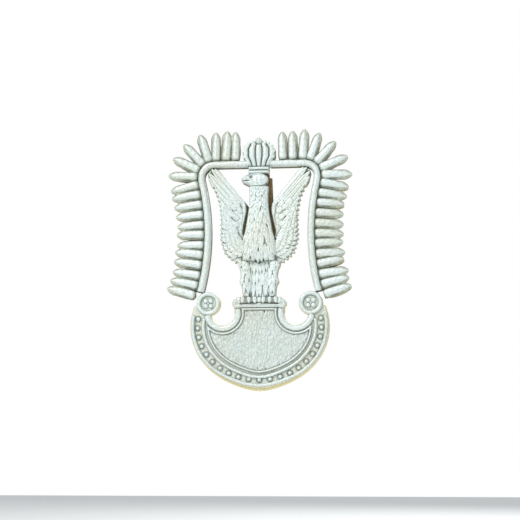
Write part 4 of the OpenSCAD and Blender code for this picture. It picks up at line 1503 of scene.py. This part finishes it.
# %% Washer and nut
low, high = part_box("washer")
front, back, outer_r, bore = low.y / MM, high.y / MM, high.x / MM, 2.03
soft = 0.14
washer = spun("washer_cut", [(bore, front), (outer_r - soft, front), (outer_r - 0.04, front + 0.08),
                             (outer_r, (front + back) / 2), (outer_r - 0.04, back - 0.08),
                             (outer_r - soft, back), (bore + 0.1, back), (bore, back - 0.1)])
finished(washer, "washer", "washer_leather", hide, "washer")

low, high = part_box("nut")
front, back, outer_r = low.y / MM, high.y / MM, high.x / MM
disc, collar = front + 1.0, 3.4
rim = [(outer_r, y) for y in np.linspace(front + 0.14, disc - 0.14, 5)]
nut = spun("nut_blank", [(bore + 0.15, front), (outer_r - 0.14, front)] + rim
           + [(outer_r - 0.14, disc), (collar + 0.15, disc), (collar, disc + 0.15),
              (collar, back - 0.2), (collar - 0.2, back), (bore + 0.2, back), (bore, back - 0.2),
              (bore, front + 0.15)], around=288)
nut = with_nodes("nut_turned", nut, cutting, {
    "Count": 36.0, "Depth": 0.30 * MM, "Above Radius": (outer_r - 0.2) * MM,
    "From Y": (front - 0.1) * MM, "To Y": (disc + 0.1) * MM, "Material": grip_brass})
finished(nut, "nut", "nut_brass", grip_brass, "nut")

# %% [markdown]
# ## Light, floor and camera
# A plain pale floor lies well below the badge, and the world behind it is white. The camera sees
# that white, while the badge is lit by a dimmer grey world, so its satin plate keeps its shading.
# Large soft lamps in front do the rest.

# %% Clear up the patterns that were only set on points
for one in (plume_feather, bead, petal, pearl, toe):
    bpy.data.objects.remove(one)

# %% Floor
floor_mesh = bpy.data.meshes.new("floor")
wide, drop = 0.7, -0.085
floor_mesh.from_pydata([(-wide, -wide, drop), (wide, -wide, drop), (wide, wide, drop),
                        (-wide, wide, drop)], [], [(0, 1, 2, 3)])
floor = bpy.data.objects.new("floor", floor_mesh)
bpy.context.scene.collection.objects.link(floor)
paper = bpy.data.materials.new("paper")
paper.use_nodes = True
tree = paper.node_tree
fibre = add(tree, "ShaderNodeTexNoise", {
    "Vector": add(tree, "ShaderNodeTexCoord").outputs["Object"], "Scale": 60.0})
tree.links.new(mixed(tree, fibre.outputs["Fac"], (0.92, 0.92, 0.91, 1), (0.96, 0.96, 0.95, 1)),
               tree.nodes["Principled BSDF"].inputs["Base Color"])
tree.nodes["Principled BSDF"].inputs["Roughness"].default_value = 0.9
floor_mesh.materials.append(paper)

# %% World and lamps
scene = bpy.context.scene
scene.view_settings.view_transform = "Standard"
scene.world = bpy.data.worlds.new("studio")
scene.world.use_nodes = True
sky = scene.world.node_tree
seen = add(sky, "ShaderNodeBackground", {"Color": (1, 1, 1, 1), "Strength": 1.0})
lit = add(sky, "ShaderNodeBackground", {"Color": (0.93, 0.97, 1.0, 1), "Strength": 0.57})
which = add(sky, "ShaderNodeMixShader", {0: add(sky, "ShaderNodeLightPath").outputs[
    "Is Camera Ray"], 1: lit.outputs[0], 2: seen.outputs[0]})
sky.links.new(which.outputs[0], sky.nodes["World Output"].inputs["Surface"])

middle = (cad_box[0] + cad_box[1]) / 2


def lamp(name, place, size, power, colour=(1, 1, 1)):
    """A square soft lamp that faces the badge."""
    light = bpy.data.lights.new(name, "AREA")
    light.size, light.energy, light.color = size, power, colour
    holder = bpy.data.objects.new(name, light)
    holder.location = Vector(place)
    holder.rotation_euler = (Vector((0, 0, middle.z)) - holder.location).to_track_quat(
        "-Z", "Y").to_euler()
    scene.collection.objects.link(holder)
    return holder


lamp("key", (-0.22, -0.36, 0.30), 0.22, 1.25)
lamp("fill", (0.34, -0.30, -0.02), 0.30, 0.2, (0.95, 0.98, 1.0))
lamp("back", (0.10, 0.40, 0.22), 0.30, 0.9)

# %% Camera
camera = bpy.data.cameras.new("camera")
eye = bpy.data.objects.new("camera", camera)
scene.collection.objects.link(eye)
target = Vector((0, 0, -5.7 * MM))
turn, rise, away = math.radians(6), math.radians(-8), 0.3
eye.location = target + away * Vector((math.sin(turn) * math.cos(rise),
                                       -math.cos(turn) * math.cos(rise), math.sin(rise)))
eye.rotation_euler = (target - eye.location).to_track_quat("-Z", "Y").to_euler()
camera.sensor_width = 36
camera.lens = 36 * away / 0.1182
camera.clip_start, camera.clip_end = 0.01, 20
scene.camera = eye

# %% Print the CAD box and finish
print("CAD box", [round(v / MM, 2) for c in cad_box for v in c])
